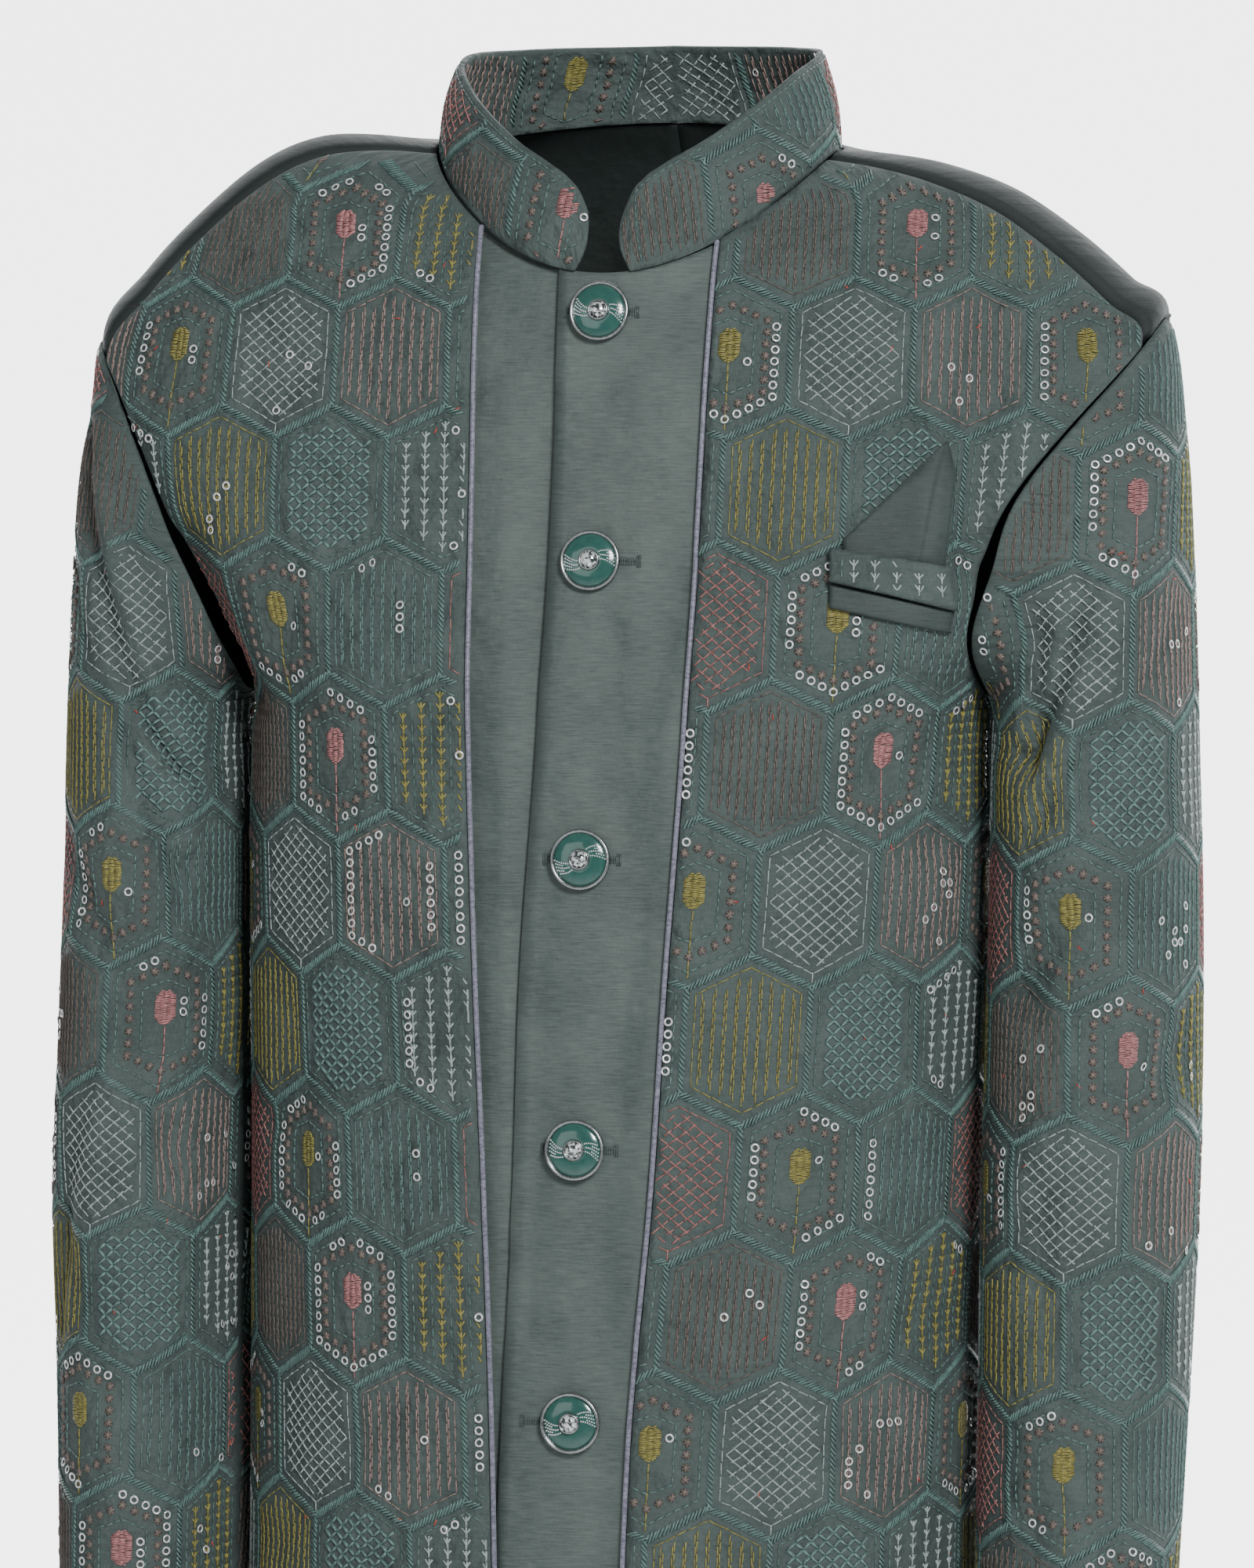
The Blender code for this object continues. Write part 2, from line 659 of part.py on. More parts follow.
# One button and its stone, seated on the lap.
def make_button(number, height):
    station = station_at(0.0, height)
    angle = np.array(FRONT)
    seat = coat(angle, station, BUTTON_LIFT - LAYER)
    normal = Vector(outward(body_point, angle, station, 0.05))
    button = finish(turned(f"button_{number}", BUTTON_PROFILE, BUTTON_SIDES), ENAMEL, 0.2)
    stone = finish(turned(f"button_stone_{number}", STONE_PROFILE, STONE_SIDES), CLEAR_STONE, 0.05)
    for thing in (button, stone):
        thing.location = Vector(seat) * MM
        thing.rotation_euler = normal.to_track_quat("Z", "Y").to_euler()
    return [button, stone]


for old in list(bpy.data.objects):
    bpy.data.objects.remove(old)

things = [
    make_back("back_left", 1),
    make_back("back_right", -1),
    make_front("front_left", 1),
    make_front("front_right", -1),
    make_placket("placket_over", LAYER, tuck_left, lap_edge),
    make_placket("placket_under", 2 * LAYER, under_edge, tuck_right),
    make_sleeve("sleeve_left", 1),
    make_sleeve("sleeve_right", -1),
    make_collar(),
    make_piping("piping_left", 1),
    make_piping("piping_right", -1),
    make_patch("pocket_welt", WELT_TOP, WELT_BOTTOM, 6, 2, WELT_LIFT, EMBROIDERED),
    make_patch("pocket_facing", FACING_TOP, FACING_BOTTOM, 6, 1, FACING_LIFT, PLAIN),
    make_patch("pocket_square", SQUARE_TOP, SQUARE_BOTTOM, 6, 4, SQUARE_LIFT, PLAIN, 1.0),
]
for count, place in enumerate(BUTTON_HEIGHTS, start=1):
    things += make_button(count, place)

# Everything goes in one collection named for the coat.
coat_pieces = bpy.data.collections.new("sherwani_coat")
bpy.context.scene.collection.children.link(coat_pieces)
for thing in things:
    for holder in list(thing.users_collection):
        holder.objects.unlink(thing)
    coat_pieces.objects.link(thing)
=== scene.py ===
import bpy
import bmesh
import math
import numpy as np
from mathutils import Matrix, Vector


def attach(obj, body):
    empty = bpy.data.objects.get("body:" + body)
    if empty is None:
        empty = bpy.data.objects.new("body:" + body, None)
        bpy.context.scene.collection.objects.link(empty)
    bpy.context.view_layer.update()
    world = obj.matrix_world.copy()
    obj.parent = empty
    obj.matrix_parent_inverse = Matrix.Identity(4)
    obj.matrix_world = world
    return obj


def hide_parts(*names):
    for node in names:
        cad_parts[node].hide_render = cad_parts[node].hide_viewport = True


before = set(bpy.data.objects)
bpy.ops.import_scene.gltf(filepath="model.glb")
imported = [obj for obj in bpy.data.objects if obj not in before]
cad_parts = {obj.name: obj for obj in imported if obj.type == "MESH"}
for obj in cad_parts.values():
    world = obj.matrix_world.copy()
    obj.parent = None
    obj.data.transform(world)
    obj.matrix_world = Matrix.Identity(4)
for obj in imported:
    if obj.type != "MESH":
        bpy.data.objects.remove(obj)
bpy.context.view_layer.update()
bpy.ops.object.select_all(action="DESELECT")
mm = 0.001               # tables below are in millimetres and degrees
seed = 41
dice = np.random.default_rng(seed)

neck, tip, armpit, hem = 0.0, 6.0, 9.0, 19.0
zPower = 1.7
layer = 2.1              # from the overlay's face down to the lap's face
seamGap = 0.15
backSeam = -0.03
clothWall = 1.0
cuffFall = 700.0         # further down than any cloth
cells = {"front": 64, "back": 30, "placket": 20, "sleeve": (72, 138), "collar": (20, 78)}


def table(columns, *rows):
    names = columns.split()
    return {name: np.array([row[i] for row in rows], float) for i, name in enumerate(names)}


# The coat's form: sections from the neck seam out over the shoulders and down to the hem
body = table(
    "station half_right half_left side_y rise_right rise_left front_y front_z back_y back_z power",
    (0.0, 61.5, 61.5, -5, 15.5, 13.0, -61, -23.5, 52, 23, 2.0),
    (1.0, 80, 78, -7, 18.0, 11.5, -63, -34, 60, 12, 2.0),
    (2.0, 98, 95, -9, 17.5, 8.3, -65.5, -46, 66, -2, 2.05),
    (3.0, 115, 115, -11, 10.5, 1.0, -68.5, -60, 71, -18, 2.1),
    (4.0, 133, 134, -13, -4, -11.5, -71, -75, 75, -36, 2.15),
    (5.0, 150, 150, -15, -22, -25, -74, -92, 78, -56, 2.2),
    (6.0, 163, 161, -17, -42, -36, -77, -110, 80, -78, 2.25),
    (7.0, 152, 151, -15, -80, -78, -81, -128, 82, -104, 2.3),
    (8.0, 132, 126, -12, -120, -120, -85, -145, 83, -129, 2.35),
    (9.0, 117.5, 109.5, -9, -150, -150, -87, -162, 83, -152, 2.4),
    (10.0, 117, 109, -8, -194, -194, -90, -194, 82, -194, 2.4),
    (11.0, 116.5, 108.5, -8, -240, -240, -94.5, -240, 79, -240, 2.4),
    (12.0, 116, 108, -8, -280, -280, -98, -280, 78, -280, 2.4),
    (13.0, 116, 108, -8, -320, -320, -101.5, -320, 79, -320, 2.4),
    (14.0, 116, 108.5, -8, -360, -360, -104, -360, 82, -360, 2.4),
    (15.0, 116.5, 109.5, -8, -412, -412, -107, -412, 86, -412, 2.4),
    (16.0, 119, 113.5, -9, -473, -473, -109, -473, 90, -473, 2.35),
    (17.0, 126, 122, -10, -530, -530, -111, -530, 93, -530, 2.3),
    (18.0, 136, 133, -11, -600, -600, -114, -600, 97, -600, 2.25),
    (19.0, 144, 144, -12, -665, -665, -117, -665, 101, -665, 2.2),
)
armhole = table(
    "station left right",
    (-30, 3, 5), (0, 14, 13), (30, 31, 22), (60, 42, 28), (90, 41, 28), (120, 32, 23), (150, 16, 13),
    (180, 0, 0), (210, -16, -16), (240, -28, -28), (270, -30, -30), (300, -21, -21), (330, -5, -5),
    (360, 14, 13), (390, 31, 22),
)
armholeDrop = 1.3
shoulderSeam = table("station ahead", (0, 12), (3, 15), (6, 16.3))
sleeve = table(
    "station outer_x outer_z inner_left inner_right inner_z middle_y half_depth",
    (0, 162.5, -38, 110, 118, -150, -16, 44),
    (1, 165.5, -52, 111, 119, -152.5, -17.5, 45),
    (2, 167, -72, 111.3, 119.5, -156, -19, 45.5),
    (3, 168.8, -100, 111.2, 119.6, -162, -20.5, 45.5),
    (4, 170.3, -132, 111.1, 119.6, -171, -21.5, 45.5),
    (5, 171.5, -170, 111, 119.5, -186, -22.5, 45),
    (6, 172.8, -212, 110.6, 119.2, -216, -23, 44.5),
    (7, 173.5, -258, 110.3, 119, -259, -28, 43.5),
    (8, 173.6, -302, 110.2, 118.8, -302, -34.5, 42),
    (9, 171.3, -362, 110.4, 118.6, -362, -39.5, 38.5),
    (10, 169.3, -412, 111, 118.4, -412, -45, 37),
    (11, 168, -473, 115, 120.5, -473, -49, 35),
)
cuff, sleeveBlend, sleeveSeam = 11.0, 2.5, 0.7
edges = table(
    "station right left lap",
    (-665, -18, 13, -24.5), (-412, -23, 16.5, -23), (-365, -24.5, 18, -21.5), (-294, -28, 23.5, -19),
    (-223, -32.5, 27, -18), (-153, -36, 31, -14.4), (-73, -38, 33, -12.7), (-15, -40, 34, -13.6),
)
tuck = table("station reach", (0, 46), (2, 56), (5, 62), (12, 56), (19, 46))
underLap = 19.0
collarTop = table(
    "station height",
    (5.5, -6), (8, -0.5), (12, 4), (18, 8), (30, 14.5), (50, 26), (70, 36), (90, 41), (130, 44.5), (180, 46),
)
collarSize = {"topHalf": 54.7, "topDepth": 50.0, "topMiddle": -4.0, "bulge": 1.5, "endReach": 2.2,
              "baseEnd": 8.0, "topEnd": 5.5, "lift": -0.5, "wall": 1.7, "baseScale": 0.982}
slitTop, slitAngle = 15.5, 1.2

# Main folds of the body, on its front (1) or back (-1), then finer creases
bodyFolds = table(
    "side x_1 z_1 x_2 z_2 width depth_1 depth_2",
    (1, 114, -26, 112, -108, 8.0, -3.0, -6.0),
    (1, 100, -30, 98, -104, 6.0, 1.0, 1.6),
    (1, -128, -104, -111, -150, 7.0, -3.0, -4.0),
    (1, 92, -390, 108, -665, 13.0, -0.5, -6.0),
    (1, -90, -410, -104, -665, 14.0, -0.5, -5.5),
    (1, 76, -430, 84, -665, 12.0, 0.3, 2.5),
    (1, -74, -450, -80, -665, 12.0, 0.3, 2.5),
    (-1, 34, -330, 44, -665, 14.0, -0.8, -5.5),
    (-1, -30, -345, -48, -665, 13.0, -0.8, -6.0),
    (-1, 4, -300, -4, -665, 15.0, 0.8, 3.5),
    (-1, 92, -80, 84, -165, 8.0, -3.0, -2.4),
    (-1, -92, -84, -86, -160, 8.0, -3.0, -2.4),
    (1, 62, -30, 70, -96, 9.0, -0.9, -0.3),
    (1, -70, -34, -78, -120, 10.0, -0.9, -0.4),
    (1, -104, -60, -92, -150, 7.0, -1.0, -1.4),
    (1, 52, -150, 46, -300, 11.0, -0.6, -1.0),
    (1, 82, -170, 76, -360, 9.0, -1.1, -0.6),
    (1, -60, -180, -56, -330, 10.0, -0.8, -1.1),
    (1, -88, -200, -94, -380, 9.0, -1.2, -0.7),
    (1, 2, -50, 8, -180, 8.0, -0.5, -0.7),
    (1, -6, -205, -10, -330, 8.0, -0.6, -0.4),
    (1, 12, -230, 6, -400, 7.0, -0.6, -0.7),
    (1, 25, -112, 13, -188, 6.5, -2.2, -1.0),
    (1, 7, -128, 3, -190, 5.5, -1.5, -0.6),
    (1, 21, -200, 11, -262, 6.5, -1.9, -1.2),
    (1, 4, -286, 12, -345, 6.0, -1.5, -0.8),
    (1, -16, -60, -15, -330, 5.0, -1.4, -1.7),
    (1, -25, -90, -21, -300, 5.0, 1.1, 1.2),
    (1, 26, -150, 18, -330, 5.5, 1.2, 1.4),
    (1, 10, -370, -2, -520, 8.0, -1.6, -2.2),
    (1, 74, -134, 98, -190, 6.0, -1.2, -2.6),
    (1, 92, -236, 70, -290, 6.0, -1.4, -0.6),
    (1, 96, -330, 60, -376, 7.0, -1.6, -0.5),
    (1, -60, -250, -100, -276, 6.0, -0.6, -1.6),
    (1, -50, -350, -96, -400, 7.0, -0.6, -1.6),
    (1, 50, -60, 96, -76, 6.0, -0.5, -1.0),
    (1, -48, -92, -96, -128, 6.0, -0.5, -1.1),
    (1, -100, -230, -84, -300, 7.0, -1.0, -0.5),
    (-1, 60, 0, 66, -120, 10.0, -0.8, -1.2),
    (-1, -58, -4, -62, -110, 10.0, -0.9, -1.1),
    (-1, 0, -40, 4, -190, 12.0, -0.8, -0.8),
    (-1, 70, -200, 52, -300, 9.0, -1.4, -1.0),
    (-1, -72, -210, -50, -320, 9.0, -1.4, -1.0),
    (-1, 84, -158, 78, -226, 7.5, -1.4, -0.1),
    (-1, -86, -154, -80, -222, 7.5, -1.4, -0.1),
)
sleeveFolds = table(
    "side turn_1 station_1 turn_2 station_2 width depth_1 depth_2",
    (-1, 22, 1.6, 132, 4.4, 7.0, -2.5, -5.0),
    (-1, 70, 3.4, 128, 5.6, 7.0, -1.5, -4.5),
    (-1, 40, 5.6, 118, 6.7, 8.0, -1.5, -3.5),
    (-1, 60, 6.0, 130, 7.6, 8.0, -2.0, -4.0),
    (1, 48, 1.9, 122, 4.1, 7.0, -1.5, -4.5),
    (1, 60, 5.2, 120, 6.4, 8.0, -1.5, -3.5),
    (1, 30, 6.9, 104, 7.8, 8.0, -2.5, -2.0),
    (1, 250, 5.4, 200, 6.9, 8.0, -2.5, -3.0),
    (-1, 252, 5.8, 205, 7.2, 8.0, -2.5, -3.0),
    (1, 262, 2.0, 214, 4.0, 8.0, -2.0, -4.0),
    (-1, 262, 2.2, 212, 4.2, 8.0, -2.0, -4.0),
    (-1, 30, 3.1, 96, 4.6, 4.0, -0.8, -1.6),
    (-1, 50, 8.2, 110, 9.2, 6.0, -1.2, -1.8),
    (1, 40, 8.6, 108, 9.5, 6.0, -1.2, -1.6),
    (1, 20, 3.6, 92, 5.0, 5.0, -0.7, -1.5),
    (1, 300, 7.4, 250, 8.4, 6.0, -1.2, -1.8),
    (-1, 300, 7.2, 246, 8.3, 6.0, -1.2, -1.8),
    (-1, 204, 3.8, 204, 11.0, 13.0, 4.5, 6.5),
    (1, 102, 0.9, 120, 4.4, 5.0, -2.4, -3.4),
    (1, 66, 1.5, 92, 3.0, 4.5, -1.8, -2.4),
    (1, 74, 4.2, 112, 5.1, 5.0, -1.4, -2.6),
    (-1, 34, 2.3, 100, 4.0, 5.0, -2.0, -2.6),
    (-1, 78, 6.9, 36, 8.6, 6.0, -1.6, -2.4),
    (1, 112, 8.0, 60, 9.6, 6.0, -1.8, -2.2),
)
sleeveTurnMm, sleeveStationMm = 0.68, 38.0


def unit(vectors):
    return vectors / np.maximum(np.linalg.norm(vectors, axis=-1, keepdims=True), 1e-9)


# Lengths of the steps between neighbours, and how far each point is along its line
def steps(points, axis):
    return np.linalg.norm(np.diff(points, axis=axis), axis=-1)


def along(points, axis):
    step = steps(points, axis)
    return np.concatenate([np.zeros_like(np.take(step, [0], axis)), np.cumsum(step, axis)], axis)


# A smooth curve through one column of a table
def read(rows, column, at):
    keys, values = rows["station"], rows[column]
    slopes = np.gradient(values, keys)
    at = np.asarray(at, float)
    i = np.clip(np.searchsorted(keys, at, side="right") - 1, 0, len(keys) - 2)
    step = keys[i + 1] - keys[i]
    t = (at - keys[i]) / step
    start = (1 + 2 * t) * (1 - t) ** 2 * values[i] + t * (1 - t) ** 2 * step * slopes[i]
    end = t * t * (3 - 2 * t) * values[i + 1] + t * t * (t - 1) * step * slopes[i + 1]
    return start + end


# A point of the body's form: angle 0 is the wearer's left side, 90 the front, 180 the right, 270 the back
def bodyPoint(angle, station):
    angle, station = np.broadcast_arrays(np.asarray(angle, float), np.asarray(station, float))
    turn = np.radians(angle)
    across, along = np.cos(turn), np.sin(turn)
    power = 2 / read(body, "power", station)
    wide, deep = np.abs(across) ** power, np.abs(along) ** power
    onLeft, ahead = across >= 0, along >= 0
    half = np.where(onLeft, read(body, "half_left", station), read(body, "half_right", station))
    rise = np.where(onLeft, read(body, "rise_left", station), read(body, "rise_right", station))
    endY = np.where(ahead, read(body, "front_y", station), read(body, "back_y", station))
    endZ = np.where(ahead, read(body, "front_z", station), read(body, "back_z", station))
    sideY = read(body, "side_y", station)
    x = half * wide * np.sign(across)
    return np.stack([x, sideY + (endY - sideY) * deep, rise + (endZ - rise) * deep ** zPower], axis=-1)


def outward(surface, first, second, step, low, high):
    first, second = np.broadcast_arrays(np.asarray(first, float), np.asarray(second, float))
    across = surface(first + 1.0, second) - surface(first - 1.0, second)
    after, before = np.clip(second + step, low, high), np.clip(second - step, low, high)
    down = surface(first, after) - surface(first, before)
    return unit(np.cross(across, down))


def bodyNormal(angle, station):
    return outward(bodyPoint, angle, station, 0.05, neck, hem)


def foldDepth(p, q, rows, names, scales=(1, 1, 1, 1)):
    total = np.zeros(np.shape(p))
    ends = [rows[name] * scale for name, scale in zip(names, scales)]
    for p1, q1, p2, q2, width, d1, d2 in zip(*ends, rows["width"], rows["depth_1"], rows["depth_2"]):
        runP, runQ = p2 - p1, q2 - q1
        t = np.clip(((p - p1) * runP + (q - q1) * runQ) / (runP ** 2 + runQ ** 2), 0, 1)
        away = np.hypot(p - p1 - t * runP, q - q1 - t * runQ)
        total = total + (d1 + (d2 - d1) * t) * np.exp(-(away / width) ** 2)
    return total


def pick(rows, side):
    mine = rows["side"] == side
    return {name: values[mine] for name, values in rows.items()}


def bodyPush(point, angle):
    names = ("x_1", "z_1", "x_2", "z_2")
    ahead = np.sin(np.radians(angle)) >= 0
    front = foldDepth(point[..., 0], point[..., 2], pick(bodyFolds, 1), names)
    behind = foldDepth(point[..., 0], point[..., 2], pick(bodyFolds, -1), names)
    return np.where(ahead, front, behind)


def coat(angle, station, out=0.0):
    point = bodyPoint(angle, station)
    push = bodyPush(point, np.broadcast_to(angle, point.shape[:-1])) + out
    return point + bodyNormal(angle, station) * push[..., None]


def angleAt(x, station):
    x = np.asarray(x, float)
    half = np.where(x >= 0, read(body, "half_left", station), read(body, "half_right", station))
    turn = np.degrees(np.arccos(np.clip(np.abs(x) / half, 0, 1) ** (read(body, "power", station) / 2)))
    return np.where(x >= 0, turn, 180 - turn)


def stationAt(x, z):
    x, z = np.broadcast_arrays(np.asarray(x, float), np.asarray(z, float))
    low, high = np.full(x.shape, neck), np.full(x.shape, hem)
    for _ in range(26):
        middle = (low + high) / 2
        above = bodyPoint(angleAt(x, middle), middle)[..., 2] > z
        low, high = np.where(above, middle, low), np.where(above, high, middle)
    return (low + high) / 2


def armholeStation(turn):
    return tip + (armpit - tip) * ((1 - np.cos(np.radians(turn))) / 2) ** armholeDrop


def armholeTurn(station):
    down = np.clip((station - tip) / (armpit - tip), 0, 1) ** (1 / armholeDrop)
    return np.degrees(np.arccos(1 - 2 * down))


def armholeAngle(turn, side):
    angle = read(armhole, "left" if side > 0 else "right", turn)
    return angle if side > 0 else 180 - angle


def seamAngle(station):
    depth = read(body, "side_y", station) - read(body, "front_y", station)
    ratio = np.clip(read(shoulderSeam, "ahead", np.minimum(station, tip)) / depth, 0, 1)
    return np.degrees(np.arcsin(ratio ** (read(body, "power", station) / 2)))


def sideAngle(station, side, isFront):
    seam = seamAngle(station)
    seam = seam if side > 0 else 180 - seam
    turn = armholeTurn(station)
    hole = armholeAngle(turn if isFront else 360 - turn, side)
    slit = slitAngle * np.clip((station - slitTop) / (hem - slitTop), 0, 1) ** 0.5 * side
    below = (0.0 if side > 0 else 180.0) + (slit if isFront else -slit)
    return np.where(station < tip, seam, np.where(station < armpit, hole, below))


def angleFor(distance, angle, station):
    step = np.linalg.norm(bodyPoint(angle + 0.5, station) - bodyPoint(angle - 0.5, station), axis=-1)
    return distance / step


def frontEdge(station, side, column=None):
    z = np.clip(read(body, "front_z", station), -665, -15)
    return angleAt(read(edges, column or ("left" if side > 0 else "right"), z), station)


def sleevePoint(turn, station, side):
    turn, station = np.broadcast_arrays(np.asarray(turn, float), np.asarray(station, float))
    around = np.radians(turn)

    def ring(at):
        middleY = read(sleeve, "middle_y", at)
        innerX = read(sleeve, "inner_left" if side > 0 else "inner_right", at)
        outer = np.stack([read(sleeve, "outer_x", at), middleY, read(sleeve, "outer_z", at)], -1)
        inner = np.stack([innerX, middleY, read(sleeve, "inner_z", at)], -1)
        point = (outer + inner) / 2 + (outer - inner) / 2 * np.cos(around)[..., None]
        point[..., 1] -= read(sleeve, "half_depth", at) * np.sin(around)
        point[..., 0] *= side
        return point

    turned = np.mod(turn, 360)
    hole = bodyPoint(armholeAngle(turned, side), armholeStation(turned))
    hole = hole + np.array([sleeveSeam * side, 0, 0])
    left = np.clip(1 - station / sleeveBlend, 0, 1)
    blend = left * left * (3 - 2 * left)
    return ring(station) + (hole - ring(np.zeros(station.shape))) * blend[..., None]


def sleeveCoat(turn, station, side, out=0.0):
    def bare(a, s):
        return sleevePoint(a, s, side)
    normal = outward(bare, turn, station, 0.1, 0.0, cuff) * side
    scales = (sleeveTurnMm, sleeveStationMm, sleeveTurnMm, sleeveStationMm)
    names = ("turn_1", "station_1", "turn_2", "station_2")
    p, q = np.mod(turn, 360) * sleeveTurnMm, np.asarray(station, float) * sleeveStationMm
    push = foldDepth(p, q, pick(sleeveFolds, side), names, scales)
    return bare(turn, station) + normal * (push + out)[..., None]


def collarPoint(part, down, side):
    c = collarSize
    baseTurn = c["baseEnd"] + (180 - c["baseEnd"]) * part
    topTurn = c["topEnd"] + (180 - c["topEnd"]) * part
    base = bodyPoint(90 - baseTurn * side, np.full(np.shape(part), neck)) + np.array([0, 0, c["lift"]])
    base[..., :2] *= c["baseScale"]
    around = np.radians(topTurn)
    top = np.stack([c["topHalf"] * np.sin(around) * side, c["topMiddle"] - c["topDepth"] * np.cos(around),
                    read(collarTop, "height", topTurn)], axis=-1)
    arch = np.sin(np.pi * (1 - down))
    radial = unit(base * np.array([1, 1, 0]))
    point = base + (top - base) * (1 - down)[..., None] + radial * (c["bulge"] * arch)[..., None]
    point[..., 0] -= side * c["endReach"] * np.exp(-(baseTurn - c["baseEnd"]) / 5) * arch
    return point


# Shader maths as Python expressions
class Wire:
    def __init__(self, look, socket):
        self.look, self.socket = look, socket

    def maths(self, operation, other):
        return self.look.node("ShaderNodeMath", {"operation": operation}, [self, other])

    def __add__(self, other):
        return self.maths("ADD", other)

    def __sub__(self, other):
        return self.maths("SUBTRACT", other)

    def __mul__(self, other):
        return self.maths("MULTIPLY", other)

    __radd__ = __add__


class Look:
    def __init__(self, name, **constants):
        self.material = bpy.data.materials.new(name)
        self.material.use_nodes = True
        self.tree = self.material.node_tree
        self.shader = self.tree.nodes["Principled BSDF"]
        for key, value in constants.items():
            self.shader.inputs[key.replace("_", " ")].default_value = value

    def node(self, kind, settings, values, out=0):
        new = self.tree.nodes.new(kind)
        for key, value in settings.items():
            if key == "stops":
                for stop, (place, colour) in zip(new.color_ramp.elements, value):
                    stop.position, stop.color = place, colour
            else:
                setattr(new, key, value)
        pairs = values.items() if isinstance(values, dict) else enumerate(values)
        for key, value in pairs:
            if isinstance(value, Wire):
                self.tree.links.new(value.socket, new.inputs[key])
            else:
                new.inputs[key].default_value = value
        return Wire(self, new.outputs[out])

    def feed(self, name, wire):
        self.tree.links.new(wire.socket, self.shader.inputs[name])

    def place(self, scale, source="UV"):
        where = self.node("ShaderNodeTexCoord", {}, {}, source)
        return self.node("ShaderNodeMapping", {}, {"Vector": where, "Scale": scale})

    def noise(self, scale, detail=3.0, rough=0.55, source="UV"):
        return self.node("ShaderNodeTexNoise", {}, {"Vector": self.place(scale, source), "Scale": 1.0,
                                                    "Detail": detail, "Roughness": rough})

    def waves(self, scale, direction, warp=0.6, source="UV"):
        values = {"Vector": self.place(scale, source), "Scale": 1.0, "Distortion": warp, "Detail": 1.0,
                  "Detail Scale": 2.0}
        settings = {"wave_type": "BANDS", "bands_direction": direction}
        return self.node("ShaderNodeTexWave", settings, values, "Fac")

    def mix(self, factor, first, second):
        return self.node("ShaderNodeMix", {"data_type": "RGBA"}, {0: factor, 6: first, 7: second}, 2)

    # Black below one value of the wire, white above another
    def ramp(self, wire, low, high):
        stops = [(low, (0, 0, 0, 1)), (high, (1, 1, 1, 1))]
        return self.node("ShaderNodeValToRGB", {"stops": stops}, {0: wire})

    def bump(self, height, strength, distance, under=None):
        values = {"Height": height, "Strength": strength, "Distance": distance}
        if under:
            values["Normal"] = under
        return self.node("ShaderNodeBump", {}, values)


def rgb(red, green, blue):
    lin = [((v / 255 + 0.055) / 1.055) ** 2.4 if v > 10 else v / 255 / 12.92 for v in (red, green, blue)]
    return (*lin, 1.0)


# Cloth: ground colour, a woven grain, slubs across the cloth, flecks of the second thread and puckers.
# Its UV map is in centimetres, so a scale is a count in each centimetre.
def clothLook(name, dark, light, fleck, fleckShare, rough, sheen, slub, pucker=0.0):
    look = Look(name, Roughness=rough, Sheen_Weight=sheen, Sheen_Roughness=0.4,
                Sheen_Tint=rgb(190, 205, 205), Specular_IOR_Level=0.32)
    cloudy = look.noise((0.35, 0.35, 1.0), 4.0)
    streaks = look.noise((1.6, 22.0, 1.0), 3.0, 0.6)
    threads = look.noise((46.0, 5.0, 1.0), 2.0, 0.6)
    warp = look.waves((14.0, 14.0, 1.0), "X", 1.2)
    weft = look.waves((12.0, 12.0, 1.0), "Y", 1.2)
    tone = cloudy * 0.35 + streaks * slub + threads * (0.65 - slub)
    colour = look.mix(look.ramp(tone, 0.34, 0.66), dark, light)
    spots = look.noise((9.0, 26.0, 1.0), 2.0, 0.7)
    flecks = look.ramp(spots, 0.70 - fleckShare, 0.76 - fleckShare)
    look.feed("Base Color", look.mix(flecks, colour, fleck))
    look.feed("Roughness", rough + (streaks - 0.5) * 0.25)
    grain = look.bump(warp * weft + streaks * 1.4 + threads * 0.8, 0.35, 0.0002)
    crumple = look.noise((1.1, 1.0, 1.0), 3.0, 0.5)
    look.feed("Normal", look.bump(crumple, 0.9, 0.001 + pucker, grain))
    return look.material


def threadLook(name, colour, rough, sheen=0.08):
    look = Look(name, Roughness=rough, Sheen_Weight=sheen, Sheen_Roughness=0.35, Specular_IOR_Level=0.4)
    patchy = look.noise((650.0, 650.0, 650.0), 2.0, 0.6, "Object")
    fine = look.noise((2600.0, 2600.0, 2600.0), 2.0, 0.6, "Object")
    dark = (*(value * 0.62 for value in colour[:3]), 1)
    light = (*(min(value * 1.3, 1) for value in colour[:3]), 1)
    look.feed("Base Color", look.mix(look.ramp(patchy * 0.6 + fine * 0.4, 0.36, 0.64), dark, light))
    look.feed("Roughness", rough + (fine - 0.5) * 0.3)
    look.feed("Normal", look.bump(fine, 0.4, 0.0001))
    return look.material


# A smooth piece in two tones, patched at a scale in counts to the metre; on the stone the two tones are
# painted reflections
def smoothLook(name, scale, detail, low, high, dark, light, grain=None, **constants):
    look = Look(name, **constants)
    patches = look.noise(scale, detail, 0.6, "Object")
    look.feed("Base Color", look.mix(look.ramp(patches, low, high), dark, light))
    if grain:
        look.feed("Normal", look.bump(patches, *grain))
    return look.material


def metalLook(name, dark, light, rough, metallic=1.0):
    look = Look(name, Metallic=metallic)
    worn = look.noise((900.0, 900.0, 900.0), 3.0, 0.6, "Object")
    look.feed("Base Color", look.mix(worn, dark, light))
    look.feed("Roughness", rough + (worn - 0.5) * 0.2)
    return look.material


